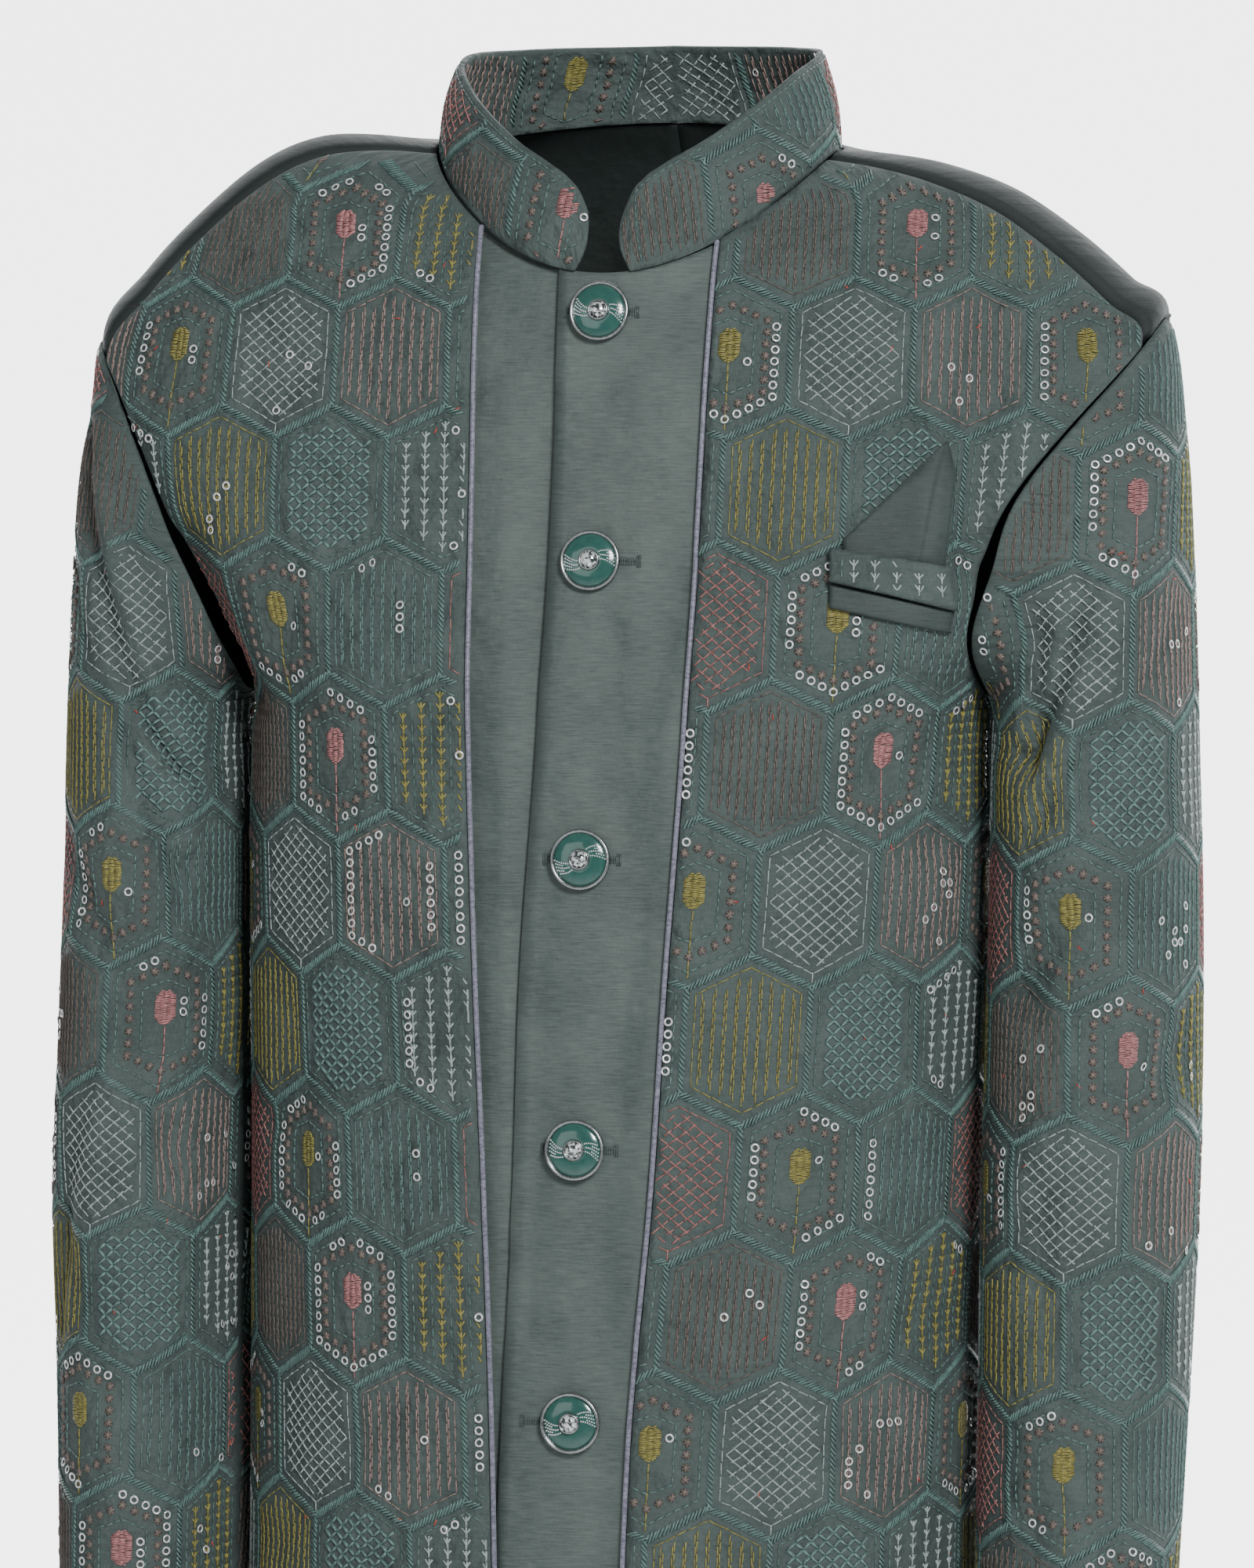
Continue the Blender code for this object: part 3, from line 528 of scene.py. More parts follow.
looks = {
    "ground": clothLook("embroideredGround", rgb(50, 62, 60), rgb(86, 99, 96), rgb(150, 78, 76),
                        0.0, 0.75, 0.1, 0.3, 0.004),
    "shot": clothLook("shotSilk", rgb(58, 70, 68), rgb(96, 108, 104), rgb(140, 92, 88),
                      0.015, 0.44, 0.2, 0.5),
    # A darker copy of the shot silk for the pocket's facing and square: painted shade
    "shade": clothLook("foldedSilk", rgb(42, 53, 51), rgb(70, 82, 79), rgb(130, 90, 86),
                       0.015, 0.5, 0.12, 0.5),
    # Plain silk of the back, darkened with painted shade where the back and shoulders face up, away from the
    # lamps
    "plain": clothLook("plainSilkPaintedShade", rgb(24, 32, 31), rgb(40, 49, 47), rgb(100, 74, 72),
                       -0.02, 0.6, 0.1, 0.4),
    "piping": smoothLook("palePiping", (700.0, 700.0, 1500.0), 3.0, 0.35, 0.65,
                         rgb(84, 86, 100), rgb(134, 134, 152), (0.4, 0.00015),
                         Roughness=0.42, Sheen_Weight=0.3, Specular_IOR_Level=0.4),
    "enamel": smoothLook("tealEnamel", (420.0, 420.0, 420.0), 4.0, 0.3, 0.7,
                         rgb(34, 78, 72), rgb(44, 90, 82), (0.05, 0.0001),
                         Roughness=0.16, Coat_Weight=0.8, Coat_Roughness=0.05),
    # Dark and bright patches on the stone: painted reflections on its facets
    "stone": smoothLook("stonePaintedReflections", (900.0, 900.0, 900.0), 3.0, 0.46, 0.54,
                        rgb(58, 66, 66), rgb(240, 244, 244),
                        Roughness=0.03, Metallic=0.35, Coat_Weight=1.0, IOR=1.7),
    "metal": metalLook("buttonMetal", rgb(120, 124, 124), rgb(196, 200, 200), 0.25),
    "sequin": metalLook("sequinMetal", rgb(214, 216, 216), rgb(244, 244, 244), 0.22, 0.45),
}
threads = {               # colour, roughness and slot of each thread
    "border": ((92, 120, 115), 0.42, "thread_green"),
    "red": ((196, 74, 62), 0.42, "thread_coral"),
    "green": ((98, 126, 121), 0.42, "thread_green"),
    "deepGreen": ((84, 112, 107), 0.42, "thread_green"),
    "silver": ((162, 175, 174), 0.35, "thread_silver"),
    "pink": ((150, 128, 122), 0.42, "thread_pink"),
    "coral": ((162, 110, 106), 0.42, "thread_coral"),
    "gold": ((140, 134, 74), 0.4, "thread_gold"),
    "brown": ((108, 97, 91), 0.42, "thread_brown"),
    "bud": ((172, 120, 120), 0.42, "thread_pink"),
    "buttonhole": ((74, 88, 86), 0.42, "thread_green"),
}
for name, (colour, rough, _) in threads.items():
    looks[name] = threadLook(name + "Thread", rgb(*colour), rough)
print("materials made")


# A piece's body, and the solid that it stands for
def settle(piece, node=None):
    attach(piece, "root")
    if node:
        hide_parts(node)


# A grid moved onto a formula, given its own thickness and UV map
def sheetPiece(node, points, across, down, wall, look, closed=False):
    rows, columns = points.shape[0] - 1, points.shape[1] - 1
    uvs = np.stack(np.broadcast_arrays(across, down), -1)
    print(node, "flat size", np.round(np.ptp(uvs.reshape(-1, 2), axis=0) * mm, 4))
    bpy.ops.mesh.primitive_grid_add(x_subdivisions=columns, y_subdivisions=rows, size=1)
    piece = bpy.context.object
    piece.name = node + "_cloth"
    mesh = piece.data
    flat = np.empty(len(mesh.vertices) * 3)
    mesh.vertices.foreach_get("co", flat)
    flat = flat.reshape(-1, 3)
    u = np.round((flat[:, 0] + 0.5) * columns).astype(int)
    v = np.round((flat[:, 1] + 0.5) * rows).astype(int)
    mesh.vertices.foreach_set("co", (points[v, u] * mm).ravel())
    corner = np.empty(len(mesh.loops), int)
    mesh.loops.foreach_get("vertex_index", corner)
    layerUv = mesh.uv_layers[0].data if mesh.uv_layers else mesh.uv_layers.new(name="cloth").data
    layerUv.foreach_set("uv", (uvs[v, u][corner] * 0.1).ravel())
    mesh.update()
    if closed:
        shape = bmesh.new()
        shape.from_mesh(mesh)
        bmesh.ops.remove_doubles(shape, verts=shape.verts, dist=0.00001)
        shape.to_mesh(mesh)
        shape.free()
    mesh.materials.append(looks[look])
    mesh.shade_smooth()
    solid = piece.modifiers.new("wall", "SOLIDIFY")
    solid.thickness = wall * mm
    solid.offset = -1
    bpy.ops.object.modifier_apply(modifier="wall")
    bpy.ops.object.select_all(action="DESELECT")
    settle(piece, node)
    return piece


# Pattern coordinates of a grid of points: across from a start column towards the wearer's right, and down.
def patternMap(points, startColumn, fall):
    down = np.interp(-points[..., 2], fall[0], fall[1])
    length = steps(points, 1)
    run = np.sqrt(np.maximum(length ** 2 - np.diff(down, axis=1) ** 2, (0.25 * length) ** 2))
    across = np.concatenate([np.zeros((len(points), 1)), np.cumsum(run, axis=1)], axis=1)
    return across - across[:, startColumn][:, None], down


def facing(points):
    return unit(np.cross(np.gradient(points, axis=0), np.gradient(points, axis=1)))


# The place on a sheet, as a regular table over its pattern coordinates. Columns run to the photo's right.
# Without across it is measured along each level of the sheet, from one of the columns.
class Ground:
    pitch = 1.5

    def __init__(self, points, down, across=None, zeroColumn=0, plumb=None):
        columns = down.shape[1]
        downs = np.arange(down.min(), down.max() + self.pitch, self.pitch)
        steady = np.maximum.accumulate(down + np.arange(len(down))[:, None] * 1e-6, axis=0)
        level = np.full((len(downs), columns, 4), np.nan)
        for j in range(columns):
            known = np.flatnonzero(~np.isnan(points[:, j, 0]))
            if len(known) < 2:
                continue
            keys = steady[known, j]
            inside = (downs >= keys[0]) & (downs <= keys[-1])
            for k in range(3):
                level[inside, j, k] = np.interp(downs[inside], keys, points[known, j, k])
            if across is not None:
                level[inside, j, 3] = np.interp(downs[inside], keys, across[known, j])
        if across is None:
            self.measure(level, zeroColumn, plumb)
        self.low = (np.nanmin(level[..., 3]), downs[0])
        acrosses = np.arange(self.low[0], np.nanmax(level[..., 3]) + self.pitch, self.pitch)
        self.place = np.zeros((len(downs), len(acrosses), 3))
        self.good = np.zeros((len(downs), len(acrosses)), bool)
        for i in range(len(downs)):
            use = np.flatnonzero(~np.isnan(level[i, :, 3]))
            if len(use) > 1:
                keys = level[i, use, 3]
                for k in range(3):
                    self.place[i, :, k] = np.interp(acrosses, keys, level[i, use, k])
                self.good[i] = (acrosses >= keys[0]) & (acrosses <= keys[-1])
        self.normal = facing(self.place)

    # Lengths along each level, counted from a plumb line down the sheet's front or from one column,
    # and carried on from the next level where that line ends
    def measure(self, level, zeroColumn, plumb):
        present = ~np.isnan(level[..., 0])
        middle = int(np.median(np.flatnonzero(present[:, zeroColumn])))
        for order in (range(middle, -1, -1), range(middle + 1, len(level))):
            last = level[middle, :, 3].copy()
            for i in order:
                use = np.flatnonzero(present[i])
                if len(use) < 2:
                    continue
                length = along(level[i, use, :3], 0)
                beyond = np.abs(level[i, use, 0]) - (plumb or 0.0)
                crossing = np.flatnonzero(beyond[1:] * beyond[:-1] < 0) if plumb else []
                if len(crossing):
                    k = min(crossing, key=lambda c: level[i, use[c], 1])
                    step = length[k + 1] - length[k]
                    start = -length[k] - step * beyond[k] / (beyond[k] - beyond[k + 1])
                elif present[i, zeroColumn] and not plumb:
                    start = -length[np.searchsorted(use, zeroColumn)]
                else:
                    start = np.nanmedian(last[use] - length)
                level[i, use, 3] = length + start
                last = level[i, :, 3].copy()

    def at(self, across, down):
        j = (across - self.low[0]) / self.pitch
        i = (down - self.low[1]) / self.pitch
        iMax, jMax = self.good.shape[0] - 2, self.good.shape[1] - 2
        ok = (i >= 0) & (j >= 0) & (i <= iMax) & (j <= jMax)
        i, j = np.clip(i, 0, iMax), np.clip(j, 0, jMax)
        i0, j0 = i.astype(int), j.astype(int)
        fi, fj = (i - i0)[:, None], (j - j0)[:, None]
        ok &= self.good[i0, j0] & self.good[i0 + 1, j0] & self.good[i0, j0 + 1] & self.good[i0 + 1, j0 + 1]

        # The four places round a point, weighed by how near they are
        def blend(grid):
            return ((grid[i0, j0] * (1 - fi) + grid[i0 + 1, j0] * fi) * (1 - fj)
                    + (grid[i0, j0 + 1] * (1 - fi) + grid[i0 + 1, j0 + 1] * fi) * fj)
        return blend(self.place), unit(blend(self.normal)), ok


# How far cloth has fallen at each height, measured down a line of the coat's front
heights = np.linspace(hem, neck, 400)[::-1]
fallLine = coat(angleAt(70.0, np.maximum(heights, 1.2)), np.maximum(heights, 1.2))
fallSteps = along(fallLine, 0)
fallAt = np.interp(50.0, -fallLine[:, 2], fallSteps)
fall = (np.concatenate([[-60.0], np.maximum.accumulate(-fallLine[:, 2])]),
        np.concatenate([[fallSteps[0] - (60 + (-fallLine[0, 2]))], fallSteps]) - fallAt + 50.0)

straight = (np.array([-90.0, cuffFall]), np.array([-90.0, cuffFall]))
panelStations = np.concatenate([np.linspace(neck, tip, 50)[:-1],
                                armholeStation(np.linspace(0, 180, 50))[:-1],
                                np.linspace(armpit, hem, 132)])
seamRoll = {"reach": 1.6, "depth": 0.7}


# Cloth turns in a little along its seams and edges
def rolled(distance):
    return -seamRoll["depth"] * np.exp(-(distance / seamRoll["reach"]) ** 2)


# A sheet of the body between two lines of angles, rolled in at its first and last edge
def makePanel(name, columns, start, end, rolls, zeroColumn, look, depth=0.0, part=None):
    station = panelStations[:, None] * np.ones(columns + 1)
    part = np.linspace(0, 1, columns + 1) if part is None else part
    angle = start[:, None] + (end - start)[:, None] * part
    points = coat(angle, station)
    width = steps(points, 1).sum(axis=1)[:, None]
    roll = rolls[0] * rolled(part * width) + rolls[1] * rolled((1 - part) * width)
    points = coat(angle, station, roll - depth)
    across, down = patternMap(points, zeroColumn, fall)
    piece = sheetPiece(name, points, -across, down, clothWall, look)
    return piece, Ground(points[:, ::-1], down[:, ::-1], -across[:, ::-1])


def makeFront(name, side):
    columns = cells["front"]
    outer = sideAngle(panelStations, side, True)
    outer = outer + angleFor(seamGap, outer, panelStations) * side
    edge = frontEdge(panelStations, side)
    part = np.linspace(0, 1, columns + 1)
    part, zeroColumn = (part, columns) if side > 0 else (part[::-1], 0)
    return makePanel(name, columns, outer, edge, (1.0, 0.5), zeroColumn, "ground",
                     0.0, part)


def makeBack(name, side):
    columns = cells["back"]
    middle = 270.0 + angleFor(backSeam, 270.0, panelStations) * side
    outer = sideAngle(panelStations, side, False) + (360 if side > 0 else 0)
    outer = outer - angleFor(seamGap, outer, panelStations) * side
    start, end, zeroColumn = (middle, outer, 0) if side > 0 else (outer, middle, columns)
    # The back takes the plain silk with its painted shade
    return makePanel(name, columns, start, end, (1.0, 1.0), zeroColumn, "plain")[0]


def makePlacket(name, depth, left, right):
    start, end = angleAt(left, panelStations), angleAt(right, panelStations)
    return makePanel(name, cells["placket"], start, end, (0.0, 0.0), 0, "shot", depth)[0]


def makeSleeve(name, side):
    columns, rows = cells["sleeve"]
    stations = np.linspace(0, cuff, rows + 1)
    turns = np.linspace(0, 360, columns + 1)
    turns = turns if side > 0 else turns[::-1]
    turn, station = np.meshgrid(turns, stations)
    points = sleeveCoat(turn, station, side)
    roll = rolled(station * sleeveStationMm) + rolled((cuff - station) * sleeveStationMm)
    points = sleeveCoat(turn, station, side, roll)
    across, down = patternMap(points, 0, straight)
    return sheetPiece(name, points, -across, down, clothWall, "ground", True)


# The outside of a sleeve again, gathered into levels and directions about an upright axis and opened at
# its inner seam, so that its pattern runs level across its face.
def sleeveGround(side):
    axisX, opening, firstDown, columns, plumb, trim = 141.0, -178.0, 36.0, 96, 152.0, 0.03
    turn, station = np.meshgrid(np.linspace(0, 359.25, 480), np.linspace(trim, cuff - trim, 900))
    points = sleeveCoat(turn, station, side).reshape(-1, 3)
    axisY = np.interp(-points[:, 2], -sleeve["outer_z"], sleeve["middle_y"])
    around = np.degrees(np.arctan2(axisY - points[:, 1], points[:, 0] * side - axisX))
    around = np.where(around < opening, around + 360, around)
    j = np.round((around - opening) / 360 * columns).astype(int)
    i = np.round((-points[:, 2] - firstDown) / Ground.pitch).astype(int)
    rows = i.max() + 1
    keep = i >= 0
    total, count = np.zeros((rows, columns + 1, 3)), np.zeros((rows, columns + 1))
    np.add.at(total, (i[keep], j[keep]), points[keep])
    np.add.at(count, (i[keep], j[keep]), 1)
    level = np.where(count[..., None] > 0, total / np.maximum(count, 1)[..., None], np.nan)
    down = (firstDown + np.arange(rows) * Ground.pitch)[:, None] * np.ones(columns + 1)
    level[..., 2] = np.where(count > 0, -down, np.nan)
    zeroColumn = int((60 - opening) / 360 * columns)
    if side > 0:
        level, zeroColumn = level[:, ::-1], columns - zeroColumn
    return Ground(level, down, zeroColumn=zeroColumn, plumb=plumb)


def makeCollar():
    (rows, half), crowd = cells["collar"], 1.5
    rising = np.linspace(0, 1, half + 1) ** crowd
    parts = np.concatenate([rising, rising[::-1][1:]])
    sides = np.concatenate([-np.ones(half + 1), np.ones(half)])
    downs = np.linspace(0, 1, rows + 1)
    points = np.stack([np.where((sides > 0)[:, None], collarPoint(parts, np.full(parts.shape, d), 1.0),
                                collarPoint(parts, np.full(parts.shape, d), -1.0)) for d in downs])
    across, down = along(points, 1), along(points, 0)
    across = across - across[:, half][:, None]
    wall = collarSize["wall"]
    piece = sheetPiece("collar", points, across, down, wall, "ground")
    near = 24
    rightHalf, leftHalf = points[:, :half + 1][:, ::-1], points[:, half:][:, ::-1]
    grounds = [Ground(rightHalf, -rightHalf[..., 2], zeroColumn=half - near),
               Ground(leftHalf, -leftHalf[..., 2], zeroColumn=near)]
    lining = points + facing(points) * wall
    for columns in (slice(0, half + 1), slice(half, None)):
        grounds.append(Ground(lining[:, columns], -lining[:, columns, 2], zeroColumn=half // 2))
    return piece, grounds


frontLeft, groundLeft = makeFront("front_left", 1)
frontRight, groundRight = makeFront("front_right", -1)
backLeft = makeBack("back_left", 1)
backRight = makeBack("back_right", -1)
reach = read(tuck, "reach", panelStations)
lapX = read(edges, "lap", np.clip(read(body, "front_z", panelStations), -665, -15))
placketOver = makePlacket("placket_over", layer, reach, lapX)
placketUnder = makePlacket("placket_under", 2 * layer, np.full(len(panelStations), underLap), -reach)
sleeveLeft = makeSleeve("sleeve_left", 1)
sleeveRight = makeSleeve("sleeve_right", -1)
collar, collarGrounds = makeCollar()
print("cloth made")


def makePiping(name, side):
    stations = np.linspace(neck, hem, 260)
    edge = frontEdge(stations, side)
    beside = angleFor(1.05, edge, stations)
    points = coat(edge + beside * side, stations, -0.6) * mm
    curve = bpy.data.curves.new(name + "_cord", "CURVE")
    curve.dimensions = "3D"
    curve.bevel_depth = 0.75 * mm
    curve.bevel_resolution = 3
    curve.use_fill_caps = True
    line = curve.splines.new("POLY")
    line.points.add(len(points) - 1)
    for spot, point in zip(line.points, points):
        spot.co = (*point, 1)
    cord = bpy.data.objects.new(name + "_cord", curve)
    bpy.context.collection.objects.link(cord)
    curve.materials.append(looks["piping"])
    settle(cord, name)


makePiping("piping_left", 1)
makePiping("piping_right", -1)

pocket = {
    "pocket_welt": {"top": ((70.8, -103.8), (105.0, -108.9)), "bottom": ((70.8, -113.6), (105.3, -120.9)),
                    "lift": 4.0, "look": "ground", "slot": "embroidered_cloth", "cells": (30, 12)},
    # The facing and the square take the silk's darker copy, which is painted shade
    "pocket_facing": {"top": ((70.8, -114.0), (105.3, -121.3)), "bottom": ((70.8, -120.9), (103.6, -128.0)),
                      "lift": 2.0, "look": "shade", "slot": "shot_silk", "cells": (30, 8)},
    "pocket_square": {"top": ((74.2, -101.4), (103.4, -72.7), (106.0, -81.4)),
                      "bottom": ((75.0, -107.5), (93.5, -110.5), (103.6, -112.5)),
                      "lift": 2.2, "look": "shade", "slot": "shot_silk", "cells": (44, 30),
                      "fold": ((102.2, -74.0), (95.5, -110.0))},
}


def makePatch(name, spec):
    columns, rows = spec["cells"]
    top, bottom = np.array(spec["top"]), np.array(spec["bottom"])
    marks = np.linspace(0, 1, len(top))
    at = np.linspace(1, 0, columns + 1)[None, :]
    down = np.linspace(0, 1, rows + 1)[:, None]
    x = np.interp(at, marks, top[:, 0]) * (1 - down) + np.interp(at, marks, bottom[:, 0]) * down
    z = np.interp(at, marks, top[:, 1]) * (1 - down) + np.interp(at, marks, bottom[:, 1]) * down
    station = stationAt(x, z)
    angle = angleAt(x, station)
    wide, tall, roll = 34, 12, 0.5
    border = np.minimum(np.minimum(at, 1 - at) * wide, np.minimum(down, 1 - down) * tall)
    lift = spec["lift"] - roll * np.exp(-(border / 0.8) ** 2)
    if "fold" in spec:
        (foldX, foldZ), (endX, endZ) = spec["fold"]
        beyond = x - foldX - (endX - foldX) * (z - foldZ) / (endZ - foldZ)
        lift = lift - 0.8 / (1 + np.exp(-beyond / 0.3))
    points = coat(angle, station, lift)
    piece = sheetPiece(name, points, x, -z, 0.9, spec["look"])
    return piece, Ground(points[:, ::-1], -z[:, ::-1], x[:, ::-1])


patches = {name: makePatch(name, spec) for name, spec in pocket.items()}
print("piping and pocket made")

# Embroidery: a chart of elongated hexagons, its own arrangement of line fillings, in millimetres
cell = {"pitchX": 36.5, "pitchY": 40.0, "halfWidth": 18.25, "halfHeight": 24.5, "side": 15.0}


# Half width, half height and half side of a hexagon drawn in by a distance
def hexagon(inset):
    return cell["halfWidth"] - inset, cell["halfHeight"] - inset * 1.18, cell["side"] - inset * 0.56


def insideHexagon(x, y, inset):
    w, h, s = hexagon(inset)
    return (np.abs(x) <= w) & (np.abs(y) <= h - np.abs(x) * (h - s) / w)


# Its six sides from the top on, as x1, y1, x2, y2
def hexagonSides(inset):
    w, h, s = hexagon(inset)
    corners = [(0, h), (w, s), (w, -s), (0, -h), (-w, -s), (-w, s)]
    return [first + second for first, second in zip(corners, corners[1:] + corners[:1])]


# Straight stitches along a line: rows of x1, y1, x2, y2, width
def dashes(x1, y1, x2, y2, stitch, gap, width):
    length = math.hypot(x2 - x1, y2 - y1)
    count = max(1, int(round((length + gap) / (stitch + gap))))
    step = length / count
    keep = stitch / (stitch + gap)
    starts = np.arange(count) * step
    ux, uy = (x2 - x1) / length, (y2 - y1) / length
    return [(x1 + ux * s, y1 + uy * s, x1 + ux * (s + step * keep), y1 + uy * (s + step * keep), width)
            for s in starts]


def outline(inset, stitch, gap, width):
    return sum((dashes(*side, stitch, gap, width) for side in hexagonSides(inset)), [])


def clipped(rows, inset):
    return [r for r in rows if insideHexagon(*r[0:2], inset) and insideHexagon(*r[2:4], inset)]


def knot(x, y, size, width):
    rows = []
    for turn in (20, 80, 140):
        dx, dy = math.cos(math.radians(turn)) * size / 2, math.sin(math.radians(turn)) * size / 2
        rows.append((x - dx, y - dy, x + dx, y + dy, width))
    return rows


def lattice(colour, slope=39, pitch=3.0, reach=30, count=11):
    rows = []
    for angle in (slope, -slope):
        ux, uy = math.cos(math.radians(angle)), math.sin(math.radians(angle))
        for k in range(-count, count + 1):
            cx, cy = -uy * k * pitch, ux * k * pitch
            rows += dashes(cx - ux * reach, cy - uy * reach, cx + ux * reach, cy + uy * reach,
                           2.9, 0.25, 0.52)
    return {colour: clipped(rows, 3.9) + outline(3.0, 3.2, 0.5, 0.4) + dashes(0, -20.6, 0, -24, 3, 0.3, 0.5)}


def uprights(colour, spacing=3.3, width=0.5, stitch=2.9):
    rows = []
    count = int((cell["halfWidth"] - 3.9) / spacing)
    for k in range(-count, count + 1):
        for beside, drop in ((-0.3, 0.0), (0.3, 1.4)):
            x = k * spacing + beside
            rows += dashes(x, -26 + drop, x, 24 + drop, stitch, 0.5, width)
    return {colour: clipped(rows, 3.6) + outline(2.9, 3.4, 0.4, 0.42)}


# Plump stitches that lean left and right by turns
def basket(colour, stepX=2.35, stepY=2.15):
    rows = []
    for i in range(-8, 9):
        for j in range(-11, 12):
            x, y, slope = i * stepX, j * stepY, 1 if (i + j) % 2 else -1
            rows.append((x - 1.1, y - 0.9 * slope, x + 1.1, y + 0.9 * slope, 1.1))
    return {colour: clipped(rows, 3.4), "deepGreen": outline(2.6, 2.2, 0.9, 0.5)}


# Lines of small arrows with dashed lines between them
def chains(colour, arrowColour, spacing=6.0, pitch=3.3):
    lines, arrows = [], []
    for k in (-2, -1, 0, 1, 2):
        x = k * spacing
        lines += dashes(x - 3.0, -24, x - 3.0, 24, 2.4, 0.9, 0.5)
        for y in np.arange(-21, 22, pitch):
            if insideHexagon(x, y, 4.2):
                arrows += [(x - 1.2, y + 1.3, x, y - 0.3, 0.6), (x + 1.2, y + 1.3, x, y - 0.3, 0.6),
                           (x, y + 1.5, x, y - 1.6, 0.7)]
    return {colour: clipped(lines, 3.8), arrowColour: arrows, "green": outline(2.9, 2.2, 0.9, 0.5)}


# A bud on its stem, in a ring of knots and two dashed rings
def concentric(budColour, inset=7.4, pitch=3.7):
    ring = []
    for x1, y1, x2, y2 in hexagonSides(inset):
        count = max(1, int(round(math.hypot(x2 - x1, y2 - y1) / pitch)))
        for k in range(count):
            ring += knot(x1 + (x2 - x1) * k / count, y1 + (y2 - y1) * k / count, 2.5, 1.0)
    bud = []
    for k in np.linspace(-1, 1, 19):
        half = 3.1 * min(1.0, 0.45 + (1 - abs(k)) * 1.6)
        for part in (-1, 0, 1):
            x, y = part * half * 0.66, 3.0 + 4.9 * k + (0.28 if part else 0.0)
            bud.append((x - half * 0.36, y, x + half * 0.36, y + 0.12, 0.62))
    stem = dashes(0, -2.6, 0, -22.5, 2.6, 0.35, 0.55)
    return {"brown": ring, budColour: bud + stem,
            "border": outline(11.0, 2.0, 0.8, 0.6) + outline(3.4, 2.0, 0.8, 0.6)}


chart = [
    [concentric("gold"), lattice("silver"), uprights("pink")],
    [uprights("gold"), basket("green"), chains("silver", "silver")],
    [lattice("coral"), concentric("gold"), uprights("green")],
    [uprights("brown", 2.6), concentric("bud"), chains("deepGreen", "gold")],
]
ringShare = [[0.45, 0.04, 0.3], [0.1, 0.03, 0.35], [0.06, 0.7, 0.35], [0.15, 0.85, 0.35]]


# Ring sequins of one hexagon: runs along its inner border where it is concentric, else down its lines
def ringRun(kind, column, rate, pitch=3.3):
    share = ringShare[kind][column] * rate
    places = []
    if share > 0.4:
        for x1, y1, x2, y2 in hexagonSides(4.6):
            if dice.random() < share * 0.55:
                count = int(math.hypot(x2 - x1, y2 - y1) / pitch)
                shares = [k / count for k in range(dice.integers(0, 3), count)]
                places += [(x1 + (x2 - x1) * k, y1 + (y2 - y1) * k) for k in shares]
        places += [(5.6, y) for y in (5.0, 1.6, -1.8) if dice.random() < share * 0.5]
    elif dice.random() < share * 1.6:
        spread = dice.uniform(-8, 8)
        for _ in range(dice.integers(3, 9)):
            x, y = spread + dice.normal(0, 4.5), dice.uniform(-16, 8)
            places.append((pitch * round(x / pitch), 3.4 * round(y / 3.4)))
    return sorted(set((round(float(x), 2), round(float(y), 2)) for x, y in places))


# Slanted stitches side by side along a line, like a rope
def rope(x1, y1, x2, y2, wide, pitch, stitch):
    length = math.hypot(x2 - x1, y2 - y1)
    ux, uy = (x2 - x1) / length, (y2 - y1) / length
    tilt = math.radians(42)
    sx, sy = ux * math.cos(tilt) - uy * math.sin(tilt), ux * math.sin(tilt) + uy * math.cos(tilt)
    half = wide / 2 / math.sin(tilt)
    middles = [(x1 + ux * s, y1 + uy * s) for s in np.arange(pitch / 2, length, pitch)]
    return [(x - sx * half, y - sy * half, x + sx * half, y + sy * half, stitch) for x, y in middles]


# Borders that each hexagon owns: a rope on its two upper slopes and on its right side
cellSides = hexagonSides(0)
border = {"border": rope(*cellSides[5], 2.2, 1.2, 0.78) + rope(*cellSides[0], 2.2, 1.2, 0.78)
          + rope(*cellSides[1], 1.8, 1.45, 0.85)}


# A shape modelled once, as the points and triangles that its copies are made from
def template(add, flat=1.0, **sizes):
    add(**sizes)
    shape = bpy.context.object
    bpy.ops.object.mode_set(mode="EDIT")
    bpy.ops.mesh.select_all(action="SELECT")
    bpy.ops.transform.resize(value=(1, 1, flat))
    bpy.ops.mesh.quads_convert_to_tris()
    bpy.ops.object.mode_set(mode="OBJECT")
    points = np.array([v.co[:] for v in shape.data.vertices])
    faces = np.array([f.vertices[:] for f in shape.data.polygons])
    bpy.data.objects.remove(shape)
    return points, faces


# The stitch is a short three-sided bar that lies on its flat side, and the sequin a small flat ring
bar = template(bpy.ops.mesh.primitive_cylinder_add, vertices=3, radius=0.577, depth=1, end_fill_type="NGON")
ringlet = template(bpy.ops.mesh.primitive_torus_add, 0.42, major_segments=10, minor_segments=4,
                   major_radius=1.06, minor_radius=0.36)
dot = template(bpy.ops.mesh.primitive_ico_sphere_add, subdivisions=1, radius=0.27)


def copied(shape, place, first, second, third):
    points, faces = shape
    spread = (place[:, None] + first[:, None] * points[:, 0:1] + second[:, None] * points[:, 1:2]
              + third[:, None] * points[:, 2:3])
    faces = faces[None] + (np.arange(len(place)) * len(points))[:, None, None]
    return spread.reshape(-1, 3), faces.reshape(-1, 3)


def joined(name, points, faces, look):
    count = len(points)
    mesh = bpy.data.meshes.new(name)
    mesh.vertices.add(count)
    mesh.vertices.foreach_set("co", (points * mm).ravel())
    mesh.loops.add(faces.size)
    mesh.loops.foreach_set("vertex_index", faces.ravel().astype(np.int32))
    mesh.polygons.add(len(faces))
    mesh.polygons.foreach_set("loop_start", (np.arange(len(faces)) * 3).astype(np.int32))
    mesh.update(calc_edges=True)
    mesh.materials.append(look)
    mesh.shade_smooth()
    piece = bpy.data.objects.new(name, mesh)
    bpy.context.collection.objects.link(piece)
    settle(piece)


stitches = {}            # thread: rows of start, end and normal on the cloth, with a width
sequins = []
handShake, longest = 0.09, 9


